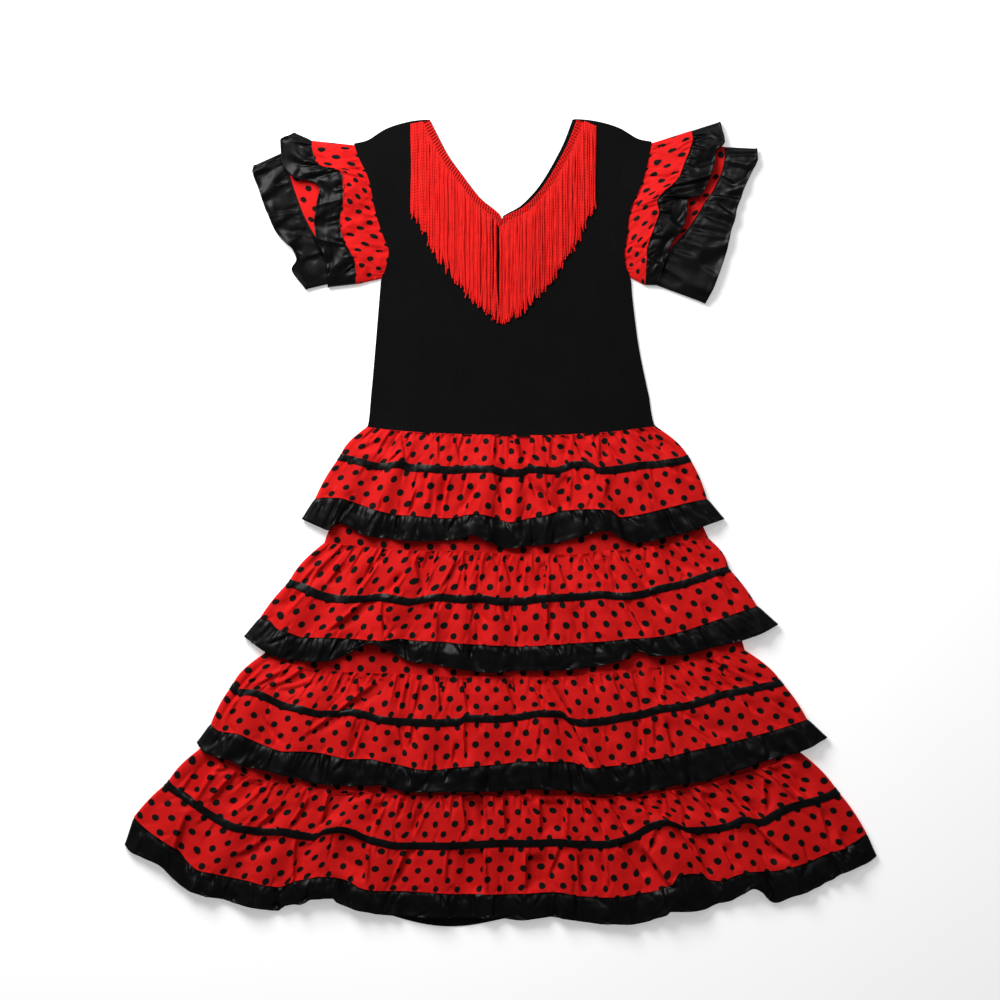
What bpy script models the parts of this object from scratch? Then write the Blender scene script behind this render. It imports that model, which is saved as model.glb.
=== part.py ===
"""A child's flamenco dress, laid flat with its front up.

The neck points along +Y, the hem along -Y and the front faces +Z. Sizes below are millimetres: x runs across from the
middle of the dress, y runs up it from the middle of its length, and z is the height above the surface it lies on.
Every piece of cloth is a closed wall. Skirt tiers, base panels and sleeves are tubes pressed flat: a front with its
gathers, a rounded fold at each side and a back that lies flat.
"""

import math

import bmesh
import bpy

MM = 0.001

# Cloth sizes
WALL = 1.3
SEAM_GAP = 0.3
SEAM_CLEARANCE = 0.5
RIBBON_THICK = 0.8
FOLD_ANGLES = (60, 120)
CENTRE_X = 0.5
CENTRE_Y = 0.2

# Heights of the middle of each wall
FLOOR_LAYER = WALL / 2
RIBBON_LAYER = WALL / 2 + SEAM_GAP + RIBBON_THICK
BASE_BACK = RIBBON_LAYER + WALL + SEAM_GAP
BASE_FRONT = BASE_BACK + 1.9
FLOUNCE_FRONT = BASE_FRONT + WALL + SEAM_GAP
CHEST = 3.0
SIDE_SEAM = FLOOR_LAYER + WALL + SEAM_GAP
ARMHOLE = 5.6

# Bodice sections from the waist to the shoulder: side_x, side_y, neck_x, neck_y, side_z, middle_z
BODICE_LEFT = (
    (-133, 97.0, 0, 89.0, SIDE_SEAM, FLOUNCE_FRONT),
    (-129, 127, 0, 122, SIDE_SEAM, 5.0),
    (-124, 183, 0, 176, SIDE_SEAM, CHEST),
    (-120, 232, 0, 226, SIDE_SEAM, CHEST),
    (-119, 243, 0, 262, 3.2, CHEST),
    (-114, 256, 0, 284, 4.6, CHEST),
    (-111, 272, 1, 304.5, ARMHOLE, CHEST),
    (-117, 288, -20, 326, ARMHOLE, CHEST),
    (-125, 314, -37, 348, ARMHOLE, CHEST),
    (-131, 344, -52, 369, ARMHOLE, CHEST),
    (-140, 364, -62, 388, 4.6, CHEST),
    (-146, 381, -70, 404, 3.2, CHEST),
)
BODICE_RIGHT = (
    (156, 97.0, 0, 89.0, SIDE_SEAM, FLOUNCE_FRONT),
    (149, 127, 0, 122, SIDE_SEAM, 5.0),
    (138, 181, 0, 176, SIDE_SEAM, CHEST),
    (132, 230, 0, 226, SIDE_SEAM, CHEST),
    (131, 243, 0, 262, 3.2, CHEST),
    (126, 256, 0, 284, 4.6, CHEST),
    (124, 269, 1, 304.5, ARMHOLE, CHEST),
    (127, 289, 22, 318, ARMHOLE, CHEST),
    (129, 309, 40, 337, ARMHOLE, CHEST),
    (143, 344, 56, 363, ARMHOLE, CHEST),
    (148, 364, 66, 383, 4.6, CHEST),
    (151.5, 383, 74, 404.5, 3.2, CHEST),
)
BODICE_COLUMNS = (0.0, 0.1, 0.22, 0.48, 0.74, 1.0)
COLUMN_RISE = (0.0, 0.6, 1.0, 1.0, 1.0, 1.0)
V_POINT_ROW = 6
BACK_NECK_SHIFT = -1.5

# Skirt rows, (x, y) from the left edge of the dress to the right, and the largest folds as x, half width and rise
WAIST = ((-133, 97), (-100, 93), (-70, 91), (-30, 89.5), (0, 89), (40, 88.5), (80, 90), (120, 93), (156, 97))
TIERS = (
    {
        "seam": WAIST,
        "ribbon": (
            (-160, 67), (-140, 62), (-120, 57), (-100, 60), (-90, 56), (-50, 54), (-10, 55), (5, 51), (20, 51),
            (30, 55), (55, 53), (75, 60), (90, 59), (100, 53), (120, 55), (160, 60), (189, 65),
        ),
        "gather": (
            (-184, 25), (-160, 26), (-149, 23), (-120, 13), (-100, 9), (-60, 6), (-45, 6), (-22, 10), (10, 2),
            (25, 5), (60, 13), (90, 15), (110, 14), (120, 7), (150, 12), (190, 22), (206, 25),
        ),
        "hem": (
            (-198, 5), (-180, -3), (-172, -6), (-161, 1), (-149, -4), (-130, -12), (-99, -16), (-48, -16),
            (-28, -11), (0, -23), (10, -24), (40, -21), (75, -14), (100, -7), (110, -7), (120, -14), (135, -19),
            (170, -12), (201, -3), (224, 5),
        ),
        "waves": 9,
        "folds": ((-22, 14, 3.0), (105, 16, 3.5)),
    },
    {
        "seam": (
            (-176, -19), (-130, -23), (-100, -26), (-30, -27), (0, -29), (70, -30), (100, -27), (140, -24),
            (180, -18), (209, -15),
        ),
        "ribbon": (
            (-211, -58), (-190, -66), (-180, -71), (-160, -75), (-120, -73), (-90, -78), (-60, -73), (-20, -74),
            (10, -77), (60, -73), (100, -70), (120, -72), (140, -70), (160, -64), (200, -53), (228, -44),
        ),
        "gather": (
            (-239, -94), (-230, -96), (-222, -104), (-195, -113), (-150, -114), (-120, -116), (-100, -114),
            (-40, -119), (20, -122), (70, -119), (130, -114), (160, -112), (200, -101), (240, -87), (256, -82),
        ),
        "hem": (
            (-256, -112), (-236, -126), (-210, -135), (-175, -137), (-160, -133), (-145, -126), (-130, -119),
            (-110, -126), (-90, -137), (-50, -143), (-10, -148), (20, -146), (50, -146), (80, -144), (120, -136),
            (140, -127), (150, -131), (185, -130), (200, -126), (241, -116), (263, -108), (278, -100),
        ),
        "waves": 11,
        "folds": ((-128, 18, 4.0), (140, 16, 4.0)),
    },
    {
        "seam": (
            (-236, -129), (-225, -134), (-210, -139), (-190, -144), (-140, -148), (-100, -149), (-50, -152),
            (40, -153), (70, -152), (100, -148), (140, -144), (200, -136), (247, -130),
        ),
        "ribbon": (
            (-269, -159), (-262, -167), (-240, -169), (-215, -181), (-180, -189), (-150, -187), (-120, -195),
            (-60, -198), (-35, -193), (20, -192), (40, -188), (60, -189), (72, -197), (100, -197), (140, -190),
            (180, -182), (220, -170), (281, -158),
        ),
        "gather": (
            (-289, -199), (-280, -206), (-260, -209), (-230, -222), (-200, -226), (-150, -234), (-130, -234),
            (-80, -244), (-65, -245), (0, -239), (30, -236), (70, -237), (90, -243), (130, -239), (190, -226),
            (250, -212), (306, -195),
        ),
        "hem": (
            (-304, -216), (-294, -228), (-270, -235), (-255, -242), (-220, -249), (-180, -259), (-140, -261),
            (-120, -260), (-90, -267), (0, -266), (40, -264), (90, -269), (120, -269), (160, -264), (190, -258),
            (230, -247), (270, -234), (301, -226), (327, -213),
        ),
        "waves": 12,
        "folds": ((-225, 16, 3.0), (-36, 14, 2.5), (40, 16, 3.0), (210, 20, 3.0)),
    },
    {
        "seam": (
            (-305, -226), (-285, -237), (-265, -247), (-230, -257), (-170, -265), (-140, -267), (-105, -270),
            (-90, -271), (-50, -270), (0, -271), (70, -271), (100, -273), (140, -270), (175, -265), (200, -260),
            (230, -252), (260, -244), (303, -230),
        ),
        "ribbon": (
            (-334, -256), (-315, -271), (-290, -289), (-265, -302), (-235, -307), (-185, -312), (-175, -306),
            (-160, -304), (-135, -313), (-100, -321), (-60, -321), (0, -318), (60, -317), (100, -319),
            (135, -310), (155, -298), (165, -296), (190, -305), (210, -304), (245, -294), (260, -297),
            (290, -282), (338, -266),
        ),
        "gather": (
            (-367, -290), (-350, -306), (-320, -326), (-312, -336), (-300, -345), (-265, -353), (-220, -362),
            (-195, -354), (-165, -352), (-140, -362), (-100, -366), (0, -369), (60, -367), (100, -372),
            (140, -368), (165, -361), (177, -351), (190, -348), (210, -355), (220, -356), (250, -346),
            (270, -346), (290, -342), (325, -329), (345, -322), (367, -308),
        ),
        "hem": (
            (-377, -316), (-370, -326), (-341, -339), (-324, -355), (-300, -369), (-257, -380), (-221, -386),
            (-216, -381), (-180, -373), (-163, -377), (-132, -387), (-112, -390), (-60, -392), (0, -393),
            (20, -395), (51, -392), (79, -396), (133, -399), (153, -394), (167, -387), (189, -386), (219, -378),
            (253, -363), (275, -378), (311, -365), (344, -347), (367, -338), (378, -330),
        ),
        "waves": 14,
        "folds": ((-305, 16, 3.5), (-177, 20, 5.0), (165, 24, 5.0), (255, 16, 4.0)),
    },
)

# Heights of the front wall at each skirt row: level of the hollows, then the height of the gathers above them
ROW_HEIGHTS = {
    "seam": (FLOUNCE_FRONT, 1.0),
    "ribbon": (8.0, 3.2),
    "gather": (8.6, 4.2),
    "hem": (7.6, 3.0),
}
LAST_TIER_HEIGHTS = {
    "seam": (FLOUNCE_FRONT, 1.0),
    "ribbon": (6.6, 3.4),
    "gather": (5.6, 4.4),
    "hem": (4.0, 3.4),
}
FOLD_SHARE = {"seam": 0.0, "ribbon": 0.6, "gather": 1.0, "hem": 0.9}
RUFFLE_WAVE = 4.0
POINTS_PER_WAVE = 4
RUFFLE_SPLIT = 2
BACK_STATIONS_EXTRA = 2
WAVE_DRIFT = 0.35
WAVE_UNEVEN = 0.35
RIBBON_ROW_ABOVE = 0.84
RIBBON_ROW_BELOW = 0.16
RIBBON_EDGES = (0.15, 0.85)
BASE_INSET = 2.6
BASE_STATIONS = 12
BASE_TUCK = 4.0

# The back of the lowest ruffle shows below the front between two points of its hem
BACK_HEM_DROP = 10.0
BACK_HEM_FROM = -112
BACK_HEM_TO = 8

# Sleeve sections from the shoulder to the underarm, (x, y) of each row
SLEEVE_ROWS = ("armhole", "gather", "frill", "lower", "cuff")
SLEEVE_LEFT = (
    ((-146, 381), (-188, 383), (-207, 391), (-216, 373), (-246, 358)),
    ((-140, 364), (-183, 359), (-219, 370), (-213, 358), (-244, 345)),
    ((-131, 344), (-160, 352), (-205, 345), (-208, 340), (-237, 324)),
    ((-125, 314), (-156, 324), (-180, 327), (-200, 318), (-229, 304)),
    ((-117, 288), (-159, 300), (-185, 301), (-190, 297), (-219, 285)),
    ((-111, 272), (-157, 284), (-182, 279), (-180, 281), (-203, 268)),
    ((-114, 256), (-148, 267), (-173, 262), (-170, 264), (-208, 256)),
    ((-119, 243), (-144, 240), (-172, 237), (-164, 247), (-194, 234)),
)
SLEEVE_RIGHT = (
    ((151.5, 383), (191, 393), (220, 402), (222, 370), (257, 375)),
    ((148, 364), (191, 378), (222, 379), (223, 360), (257, 364)),
    ((143, 344), (181, 350), (212, 354), (215, 337), (248, 345)),
    ((129, 309), (157, 323), (200, 327), (204, 321), (241, 330)),
    ((127, 289), (158, 304), (187, 316), (194, 304), (234, 304)),
    ((124, 269), (150, 284), (182, 296), (182, 287), (230, 291)),
    ((126, 256), (146, 266), (167, 269), (168, 271), (222, 262)),
    ((131, 243), (145, 238), (157, 239), (152, 247), (205, 220)),
)
SLEEVE_SPLIT = 4
SLEEVE_WAVES = 7
LOWER_START = 0.12
LOWER_TRIM = 6.0
LOWER_BACK = FLOOR_LAYER + WALL + SEAM_GAP
LOWER_FRONT = LOWER_BACK + 1.9

# Fringe on the V neck: ends of the braid's outer edge, then where the first and last strands end
BRAID_WIDTH = 9.0
BRAID_THICK = 1.0
BRAID_EDGE_INSET = 0.6
BRAID_MITRE_GAP = 0.3
BRAID_MITRE_DROP = 11.0
STRAND_COUNT = 41
STRAND_FILL = 0.66
STRAND_HEIGHT = 1.2
FRINGE_Z = CHEST + WALL / 2 + SEAM_GAP
FRINGE_LEFT_ENDS = ((-88.5, 312), (-74, 287), (-59, 262), (-43, 241), (-27, 223), (-13, 213), (-1.2, 199))
FRINGE_RIGHT_ENDS = ((95.5, 317), (88, 307), (79, 285), (64, 262), (48, 238), (33, 223), (19, 209), (1.2, 198))
STRAND_UNEVEN = (0.0, 2.5, -1.0, 1.5, -2.5, 0.8, -0.6, 2.0, -1.6)

# Colours as linear red, green, blue
JERSEY_BLACK = (0.010, 0.010, 0.011, 1.0)
SATIN_BLACK = (0.012, 0.012, 0.013, 1.0)
DOTTED_RED = (0.72, 0.012, 0.010, 1.0)
FRINGE_RED = (0.85, 0.020, 0.015, 1.0)


def clear_scene():
    for item in list(bpy.data.objects):
        bpy.data.objects.remove(item, do_unlink=True)


def fabric(name, colour, roughness):
    material = bpy.data.materials.new(name)
    material.use_nodes = True
    shader = material.node_tree.nodes["Principled BSDF"]
    shader.inputs["Base Color"].default_value = colour
    shader.inputs["Roughness"].default_value = roughness
    shader.inputs["Metallic"].default_value = 0.0
    return material


def lerp(a, b, f):
    return tuple(p + (q - p) * f for p, q in zip(a, b))


def between(points_a, points_b, f):
    """Points at a fraction of the way from one row to the next."""
    return [lerp(a, b, f) for a, b in zip(points_a, points_b)]


def height_on(row, x):
    """y of a row of (x, y) points at x."""
    for (x0, y0), (x1, y1) in zip(row, row[1:]):
        if x <= x1:
            return y0 + (y1 - y0) * (x - x0) / (x1 - x0)
    return row[-1][1]


def build_wall(name, outer, inner, faces, material):
    """A closed wall from a sheet of faces whose points are given on both of its sides."""
    mesh = bmesh.new()
    top = [mesh.verts.new([(p[0] - CENTRE_X) * MM, (p[1] - CENTRE_Y) * MM, p[2] * MM]) for p in outer]
    under = [mesh.verts.new([(p[0] - CENTRE_X) * MM, (p[1] - CENTRE_Y) * MM, p[2] * MM]) for p in inner]
    edge_use = {}
    for face in faces:
        mesh.faces.new([top[i] for i in face])
        mesh.faces.new([under[i] for i in reversed(face)])
        for a, b in zip(face, face[1:] + face[:1]):
            key = (min(a, b), max(a, b))
            edge_use.setdefault(key, []).append((a, b))
    for uses in edge_use.values():
        if len(uses) == 1:
            a, b = uses[0]
            mesh.faces.new([top[b], top[a], under[a], under[b]])
    return finish_mesh(name, mesh, material)


def finish_mesh(name, mesh, material):
    bmesh.ops.recalc_face_normals(mesh, faces=mesh.faces)
    data = bpy.data.meshes.new(name)
    mesh.to_mesh(data)
    mesh.free()
    data.materials.append(material)
    piece = bpy.data.objects.new(name, data)
    bpy.context.scene.collection.objects.link(piece)
    data.shade_smooth()
    data.set_sharp_from_angle(angle=math.radians(40))
    return piece


def ring(front, front_z, back, back_z):
    """One closed loop of a tube pressed flat, as lists of outer and inner points.

    front runs from one side of the tube to the other, back returns. Each side fold is a half circle that joins them.
    """
    half = WALL / 2
    outer = [(x, y, z + half) for (x, y), z in zip(front, front_z)]
    inner = [(x, y, z - half) for (x, y), z in zip(front, front_z)]
    add_fold(outer, inner, front[-1], front[-2], front_z[-1], back_z, FOLD_ANGLES)
    outer += [(x, y, back_z - half) for x, y in back]
    inner += [(x, y, back_z + half) for x, y in back]
    add_fold(outer, inner, front[0], front[1], front_z[0], back_z, FOLD_ANGLES[::-1])
    return outer, inner


def add_fold(outer, inner, end, before, front_z, back_z, angles):
    half = WALL / 2
    radius = (front_z - back_z) / 2
    middle_z = (front_z + back_z) / 2
    step = (end[0] - before[0], end[1] - before[1])
    length = math.hypot(*step)
    for angle in angles:
        out = math.sin(math.radians(angle))
        up = math.cos(math.radians(angle))
        for points, reach in ((outer, radius + half), (inner, radius - half)):
            along = out * reach / length
            points.append((end[0] + step[0] * along, end[1] + step[1] * along, middle_z + up * reach))


def tube(name, rings, material):
    outer = []
    inner = []
    for ring_outer, ring_inner in rings:
        outer += ring_outer
        inner += ring_inner
    count = len(rings[0][0])
    faces = []
    for r in range(len(rings) - 1):
        for i in range(count):
            j = (i + 1) % count
            faces.append([r * count + i, r * count + j, (r + 1) * count + j, (r + 1) * count + i])
    return build_wall(name, outer, inner, faces, material)


def fold_margin(front_z, back_z):
    """How far a fold reaches past the end of the front wall."""
    return (front_z - back_z) / 2 + WALL / 2


def row_points(row, stations, margin):
    """Points on a skirt row at the given fractions across it, ending a margin inside its ends."""
    left = row[0][0] + margin
    right = row[-1][0] - margin
    points = []
    for u in stations:
        x = left + (right - left) * u
        points.append((x, height_on(row, x)))
    return points


def front_gathers(tier, seed):
    """Stations across a tier's front: fraction across, gather from 0 in a hollow to 1 on a crest, and fold rise."""
    waves = tier["waves"]
    steps = waves * POINTS_PER_WAVE
    fractions = []
    for i in range(steps + 1):
        s = i / steps
        fractions.append(s + WAVE_DRIFT / waves * math.sin(math.tau * (2.3 * s + 0.31 * seed)) * math.sin(math.pi * s))
    gathers = []
    for i, (x, y) in enumerate(row_points(tier["gather"], fractions, 0.0)):
        uneven = 1 - WAVE_UNEVEN * (0.5 + 0.5 * math.sin(math.tau * (3.1 * i / steps + 0.17 * seed)))
        crest = (0.5 - 0.5 * math.cos(math.tau * i / POINTS_PER_WAVE)) * uneven
        rise = sum(rise * math.exp(-((x - middle) / width) ** 2) for middle, width, rise in tier["folds"])
        gathers.append((fractions[i], crest, rise))
    return gathers


def split_steps(values, parts):
    """Each step of a list of tuples cut into equal parts."""
    finer = []
    for a, b in zip(values, values[1:]):
        finer += [lerp(a, b, k / parts) for k in range(parts)]
    return finer + [values[-1]]


def back_stations(waves):
    count = waves + BACK_STATIONS_EXTRA
    return [1 - i / count for i in range(count + 1)]


def blended_row(row_a, row_b, f):
    """A function that gives the points of a row lying between two others."""
    def points_of(stations, margin):
        return between(row_points(row_a, stations, margin), row_points(row_b, stations, margin), f)
    return points_of


def front_heights(row_name, heights, gathers):
    """Height of the front at each station, from its gather and its fold."""
    level, wave = heights[row_name]
    share = FOLD_SHARE[row_name]
    return [level] + [level + wave * crest + share * rise for u, crest, rise in gathers[1:-1]] + [level]


def flounce_ring(tier, row_name, heights, points_of, back_layer, gathers):
    margin = fold_margin(heights[row_name][0], back_layer)
    front = points_of([u for u, crest, rise in gathers], margin)
    back = points_of(back_stations(tier["waves"]), margin)
    return ring(front, front_heights(row_name, heights, gathers), back, back_layer)


def make_tier(number, tier, materials):
    heights = LAST_TIER_HEIGHTS if number == len(TIERS) else ROW_HEIGHTS
    gathers = front_gathers(tier, number)
    rows = (
        ("seam", blended_row(tier["seam"], tier["ribbon"], 0.0), FLOOR_LAYER),
        ("ribbon", blended_row(tier["seam"], tier["ribbon"], RIBBON_ROW_ABOVE), RIBBON_LAYER),
        ("ribbon", blended_row(tier["ribbon"], tier["gather"], RIBBON_ROW_BELOW), RIBBON_LAYER),
        ("gather", blended_row(tier["gather"], tier["hem"], 0.0), FLOOR_LAYER),
    )
    rings = [flounce_ring(tier, row, heights, points, layer, gathers) for row, points, layer in rows]
    tube(f"tier_{number}_flounce", rings, materials["dotted"])
    make_ribbon(number, rings[1], rings[2], materials["satin"])
    make_ruffle(number, tier, heights, gathers, materials["satin"])


def make_ribbon(number, above, below, material):
    """A flat band made from the flounce's own points, moved out from its wall."""
    rings = []
    for f in RIBBON_EDGES:
        outer = []
        inner = []
        for i in range(len(above[0])):
            face = lerp(above[0][i], below[0][i], f)
            inside = lerp(above[1][i], below[1][i], f)
            out = [(a - b) / WALL for a, b in zip(face, inside)]
            inner.append(tuple(p + SEAM_GAP * d for p, d in zip(face, out)))
            outer.append(tuple(p + (SEAM_GAP + RIBBON_THICK) * d for p, d in zip(face, out)))
        rings.append((outer, inner))
    tube(f"tier_{number}_ribbon", rings, material)


def make_ruffle(number, tier, heights, gathers, material):
    """The ruffle on a flounce's hem. Its top edge follows the flounce's own lower edge, a seam gap below it."""
    back = back_stations(tier["waves"])
    margin = fold_margin(heights["gather"][0], FLOOR_LAYER)
    edge = row_points(tier["gather"], [u for u, crest, rise in gathers], margin)
    edge_z = front_heights("gather", heights, gathers)
    edge = split_steps([(x, y - SEAM_CLEARANCE, z) for (x, y), z in zip(edge, edge_z)], RUFFLE_SPLIT)
    back_edge = [(x, y - SEAM_CLEARANCE) for x, y in row_points(tier["gather"], back, margin)]
    top = ring([(x, y) for x, y, z in edge], [z for x, y, z in edge], back_edge, FLOOR_LAYER)

    margin = fold_margin(heights["hem"][0], FLOOR_LAYER)
    fine = split_steps(gathers, RUFFLE_SPLIT)
    front = row_points(tier["hem"], [u for u, crest, rise in fine], margin)
    front_z = front_heights("hem", heights, fine)
    for i in range(len(front)):
        front_z[i] += RUFFLE_WAVE * (0.5 - 0.5 * math.cos(math.tau * i / POINTS_PER_WAVE))
    back_hem = row_points(tier["hem"], back, margin)
    if number == len(TIERS):
        back_hem = [(x, y - back_hem_drop(x)) for x, y in back_hem]
    tube(f"tier_{number}_ruffle", [top, ring(front, front_z, back_hem, FLOOR_LAYER)], material)


def back_hem_drop(x):
    if not BACK_HEM_FROM < x < BACK_HEM_TO:
        return 0.0
    f = (x - BACK_HEM_FROM) / (BACK_HEM_TO - BACK_HEM_FROM)
    return BACK_HEM_DROP * math.sin(math.pi * f)


def make_base(number, material):
    """A plain skirt panel from one gathered seam to the next."""
    top = TIERS[number - 1]["seam"]
    bottom = TIERS[number]["seam"]
    stations = [i / BASE_STATIONS for i in range(BASE_STATIONS + 1)]
    margin = fold_margin(BASE_FRONT, BASE_BACK) + BASE_INSET
    tuck = -BASE_TUCK if number == len(TIERS) - 1 else SEAM_GAP
    rings = []
    for row, shift in ((top, -SEAM_GAP), (bottom, tuck)):
        front = [(x, y + shift) for x, y in row_points(row, stations, margin)]
        rings.append(ring(front, [BASE_FRONT] * len(front), front[::-1], BASE_BACK))
    tube(f"base_{number}", rings, material)


def bodice_point(section, t, neck_shift):
    side_x, side_y, neck_x, neck_y = section[:4]
    x = side_x + (neck_x + neck_shift - side_x) * t
    y = side_y + (neck_y - side_y) * math.sin(math.pi / 2 * t)
    return x, y


def bodice_grid(neck_shift, heights_of):
    """Points and faces of a bodice panel: two halves that share their middle below the point of the V."""
    points = []
    index = {}
    for half, sections in (("left", BODICE_LEFT), ("right", BODICE_RIGHT)):
        for r, section in enumerate(sections):
            for c, t in enumerate(BODICE_COLUMNS):
                shared = c == len(BODICE_COLUMNS) - 1 and r <= V_POINT_ROW
                if shared and half == "right":
                    index[half, r, c] = index["left", r, c]
                    continue
                x, y = bodice_point(section, t, neck_shift if r > V_POINT_ROW else 0)
                if r == 0:
                    y = height_on(WAIST, x) + SEAM_GAP
                index[half, r, c] = len(points)
                points.append((x, y, heights_of(section, c)))
    faces = []
    for half in ("left", "right"):
        for r in range(len(BODICE_LEFT) - 1):
            for c in range(len(BODICE_COLUMNS) - 1):
                corners = [index[half, r, c], index[half, r, c + 1], index[half, r + 1, c + 1], index[half, r + 1, c]]
                faces.append(corners if half == "left" else corners[::-1])
    return points, faces


def make_bodice(material):
    def front_height(section, c):
        return section[4] + (section[5] - section[4]) * COLUMN_RISE[c]

    def back_height(section, c):
        return FLOOR_LAYER

    half = WALL / 2
    for name, height_of, neck_shift in (
        ("bodice_front", front_height, 0.0),
        ("bodice_back", back_height, BACK_NECK_SHIFT),
    ):
        points, faces = bodice_grid(neck_shift, height_of)
        outer = [(x, y, z + half) for x, y, z in points]
        inner = [(x, y, z - half) for x, y, z in points]
        build_wall(name, outer, inner, faces, material)


def trimmed(points, margin):
    """A row whose two ends are moved inwards along it."""
    row = list(points)
    for end, near in ((0, 1), (-1, -2)):
        length = math.dist(row[end], row[near])
        row[end] = lerp(row[end], row[near], margin / length)
    return row


def sleeve_row(sections, name, margin, split):
    column = SLEEVE_ROWS.index(name)
    row = trimmed([section[column] for section in sections], margin)
    points = []
    for a, b in zip(row, row[1:]):
        points += [lerp(a, b, k / split) for k in range(split)]
    return points + [row[-1]]


def sleeve_ring(sections, rows, heights, back_z, trim, split):
    """A ring of a sleeve piece. rows is (row, next row, fraction), heights is (ends, middle, gathers)."""
    name_a, name_b, f = rows
    at_ends, in_middle, wave = heights
    margin = fold_margin(at_ends, back_z) + trim
    front = between(sleeve_row(sections, name_a, margin, split), sleeve_row(sections, name_b, margin, split), f)
    last = len(front) - 1
    front_z = []
    for i in range(len(front)):
        swell = math.sin(math.pi * i / last) ** 0.6
        crest = 0.5 - 0.5 * math.cos(math.tau * SLEEVE_WAVES * i / last)
        front_z.append(at_ends + (in_middle - at_ends) * swell + wave * crest * swell)
    return ring(front, front_z, front[::-split], back_z)


def make_sleeve(side, sections, materials):
    low = FLOOR_LAYER
    pieces = (
        ("upper", "dotted", (
            (("armhole", "gather", 0.015), (SIDE_SEAM + 1, ARMHOLE, 0.0), low, 0.0),
            (("armhole", "gather", 0.5), (6.0, 10.0, 2.0), low, 0.0),
            (("armhole", "gather", 1.0), (7.0, 12.5, 3.0), low, 0.0),
        )),
        ("frill", "satin", (
            (("gather", "frill", 0.03), (7.0, 12.5, 3.0), low, 0.0),
            (("gather", "frill", 0.5), (7.0, 11.5, 4.0), low, 0.0),
            (("gather", "frill", 1.0), (7.5, 9.5, 6.0), low, 0.0),
        )),
        ("lower", "dotted", (
            (("armhole", "lower", LOWER_START), (LOWER_FRONT, LOWER_FRONT, 0.0), LOWER_BACK, LOWER_TRIM),
            (("armhole", "lower", 1.0), (LOWER_FRONT, LOWER_FRONT, 0.0), LOWER_BACK, 0.0),
        )),
        ("cuff", "satin", (
            (("lower", "cuff", 0.02), (LOWER_FRONT, LOWER_FRONT, 0.0), LOWER_BACK, 0.0),
            (("lower", "cuff", 0.5), (5.0, 5.6, 1.6), LOWER_BACK, 0.0),
            (("lower", "cuff", 1.0), (6.0, 7.5, 6.0), low, 0.0),
        )),
    )
    for piece, cloth, rows in pieces:
        split = 1 if piece == "lower" else SLEEVE_SPLIT
        rings = [sleeve_ring(sections, *row, split) for row in rows]
        tube(f"sleeve_{side}_{piece}", rings, materials[cloth])


def neck_edge(sections):
    return [(s[2], s[3]) for s in sections[V_POINT_ROW:]][::-1]


def point_along(path, f):
    """The point at a fraction of a path's length."""
    lengths = [math.dist(a, b) for a, b in zip(path, path[1:])]
    left = min(f, 1.0) * sum(lengths)
    for a, b, length in zip(path, path[1:], lengths):
        if left <= length:
            break
        left -= length
    return lerp(a, b, min(left / length, 1.0))


def moved_out(path, distance, out_sign):
    """The neck edge moved into the cloth."""
    points = []
    for i, (x, y) in enumerate(path):
        before = path[max(i - 1, 0)]
        after = path[min(i + 1, len(path) - 1)]
        length = math.dist(before, after)
        step_x = (after[0] - before[0]) / length
        step_y = (after[1] - before[1]) / length
        points.append((x - step_y * out_sign * distance, y + step_x * out_sign * distance))
    return points


def braid_edges(sections, out_sign):
    """The two edges of one arm's braid, from the shoulder to the mitre below the V."""
    neck = neck_edge(sections)
    mitre_x = neck[-1][0] + out_sign * BRAID_MITRE_GAP / 2
    neck_y = neck[-1][1]
    inner = moved_out(neck, BRAID_EDGE_INSET, out_sign)[:-1] + [(mitre_x, neck_y - BRAID_EDGE_INSET)]
    outer = moved_out(neck, BRAID_WIDTH, out_sign)[:-1] + [(mitre_x, neck_y - BRAID_MITRE_DROP)]
    return inner, outer


def make_fringe(side, sections, ends, out_sign, material):
    """A braid along one arm of the V with strands that hang from its outer edge, as one closed comb."""
    inner_path, outer_path = braid_edges(sections, out_sign)
    cells = 2 * STRAND_COUNT
    fractions = [(i + (STRAND_FILL - 0.5) * (i % 2)) / cells for i in range(cells + 1)]
    inner_edge = [point_along(inner_path, f) for f in fractions]
    outer_edge = [point_along(outer_path, f) for f in fractions]
    mesh = bmesh.new()

    def vert(x, y, z):
        return mesh.verts.new(((x - CENTRE_X) * MM, (y - CENTRE_Y) * MM, z * MM))

    low = FRINGE_Z
    high = FRINGE_Z + BRAID_THICK
    rails = [[vert(x, y, z) for x, y in edge] for edge, z in (
        (inner_edge, high), (outer_edge, high), (outer_edge, low), (inner_edge, low))]
    for i in range(cells):
        for k in (0, 2, 3):
            a, b = rails[k], rails[(k + 1) % 4]
            mesh.faces.new((a[i], a[i + 1], b[i + 1], b[i]))
        if i % 2 == 0:
            add_strand(mesh, vert, rails[1], rails[2], outer_edge, i, cells, ends)
        else:
            mesh.faces.new((rails[1][i], rails[1][i + 1], rails[2][i + 1], rails[2][i]))
    for end in (0, cells):
        mesh.faces.new([rail[end] for rail in rails])
    finish_mesh(f"fringe_{side}", mesh, material)


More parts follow.
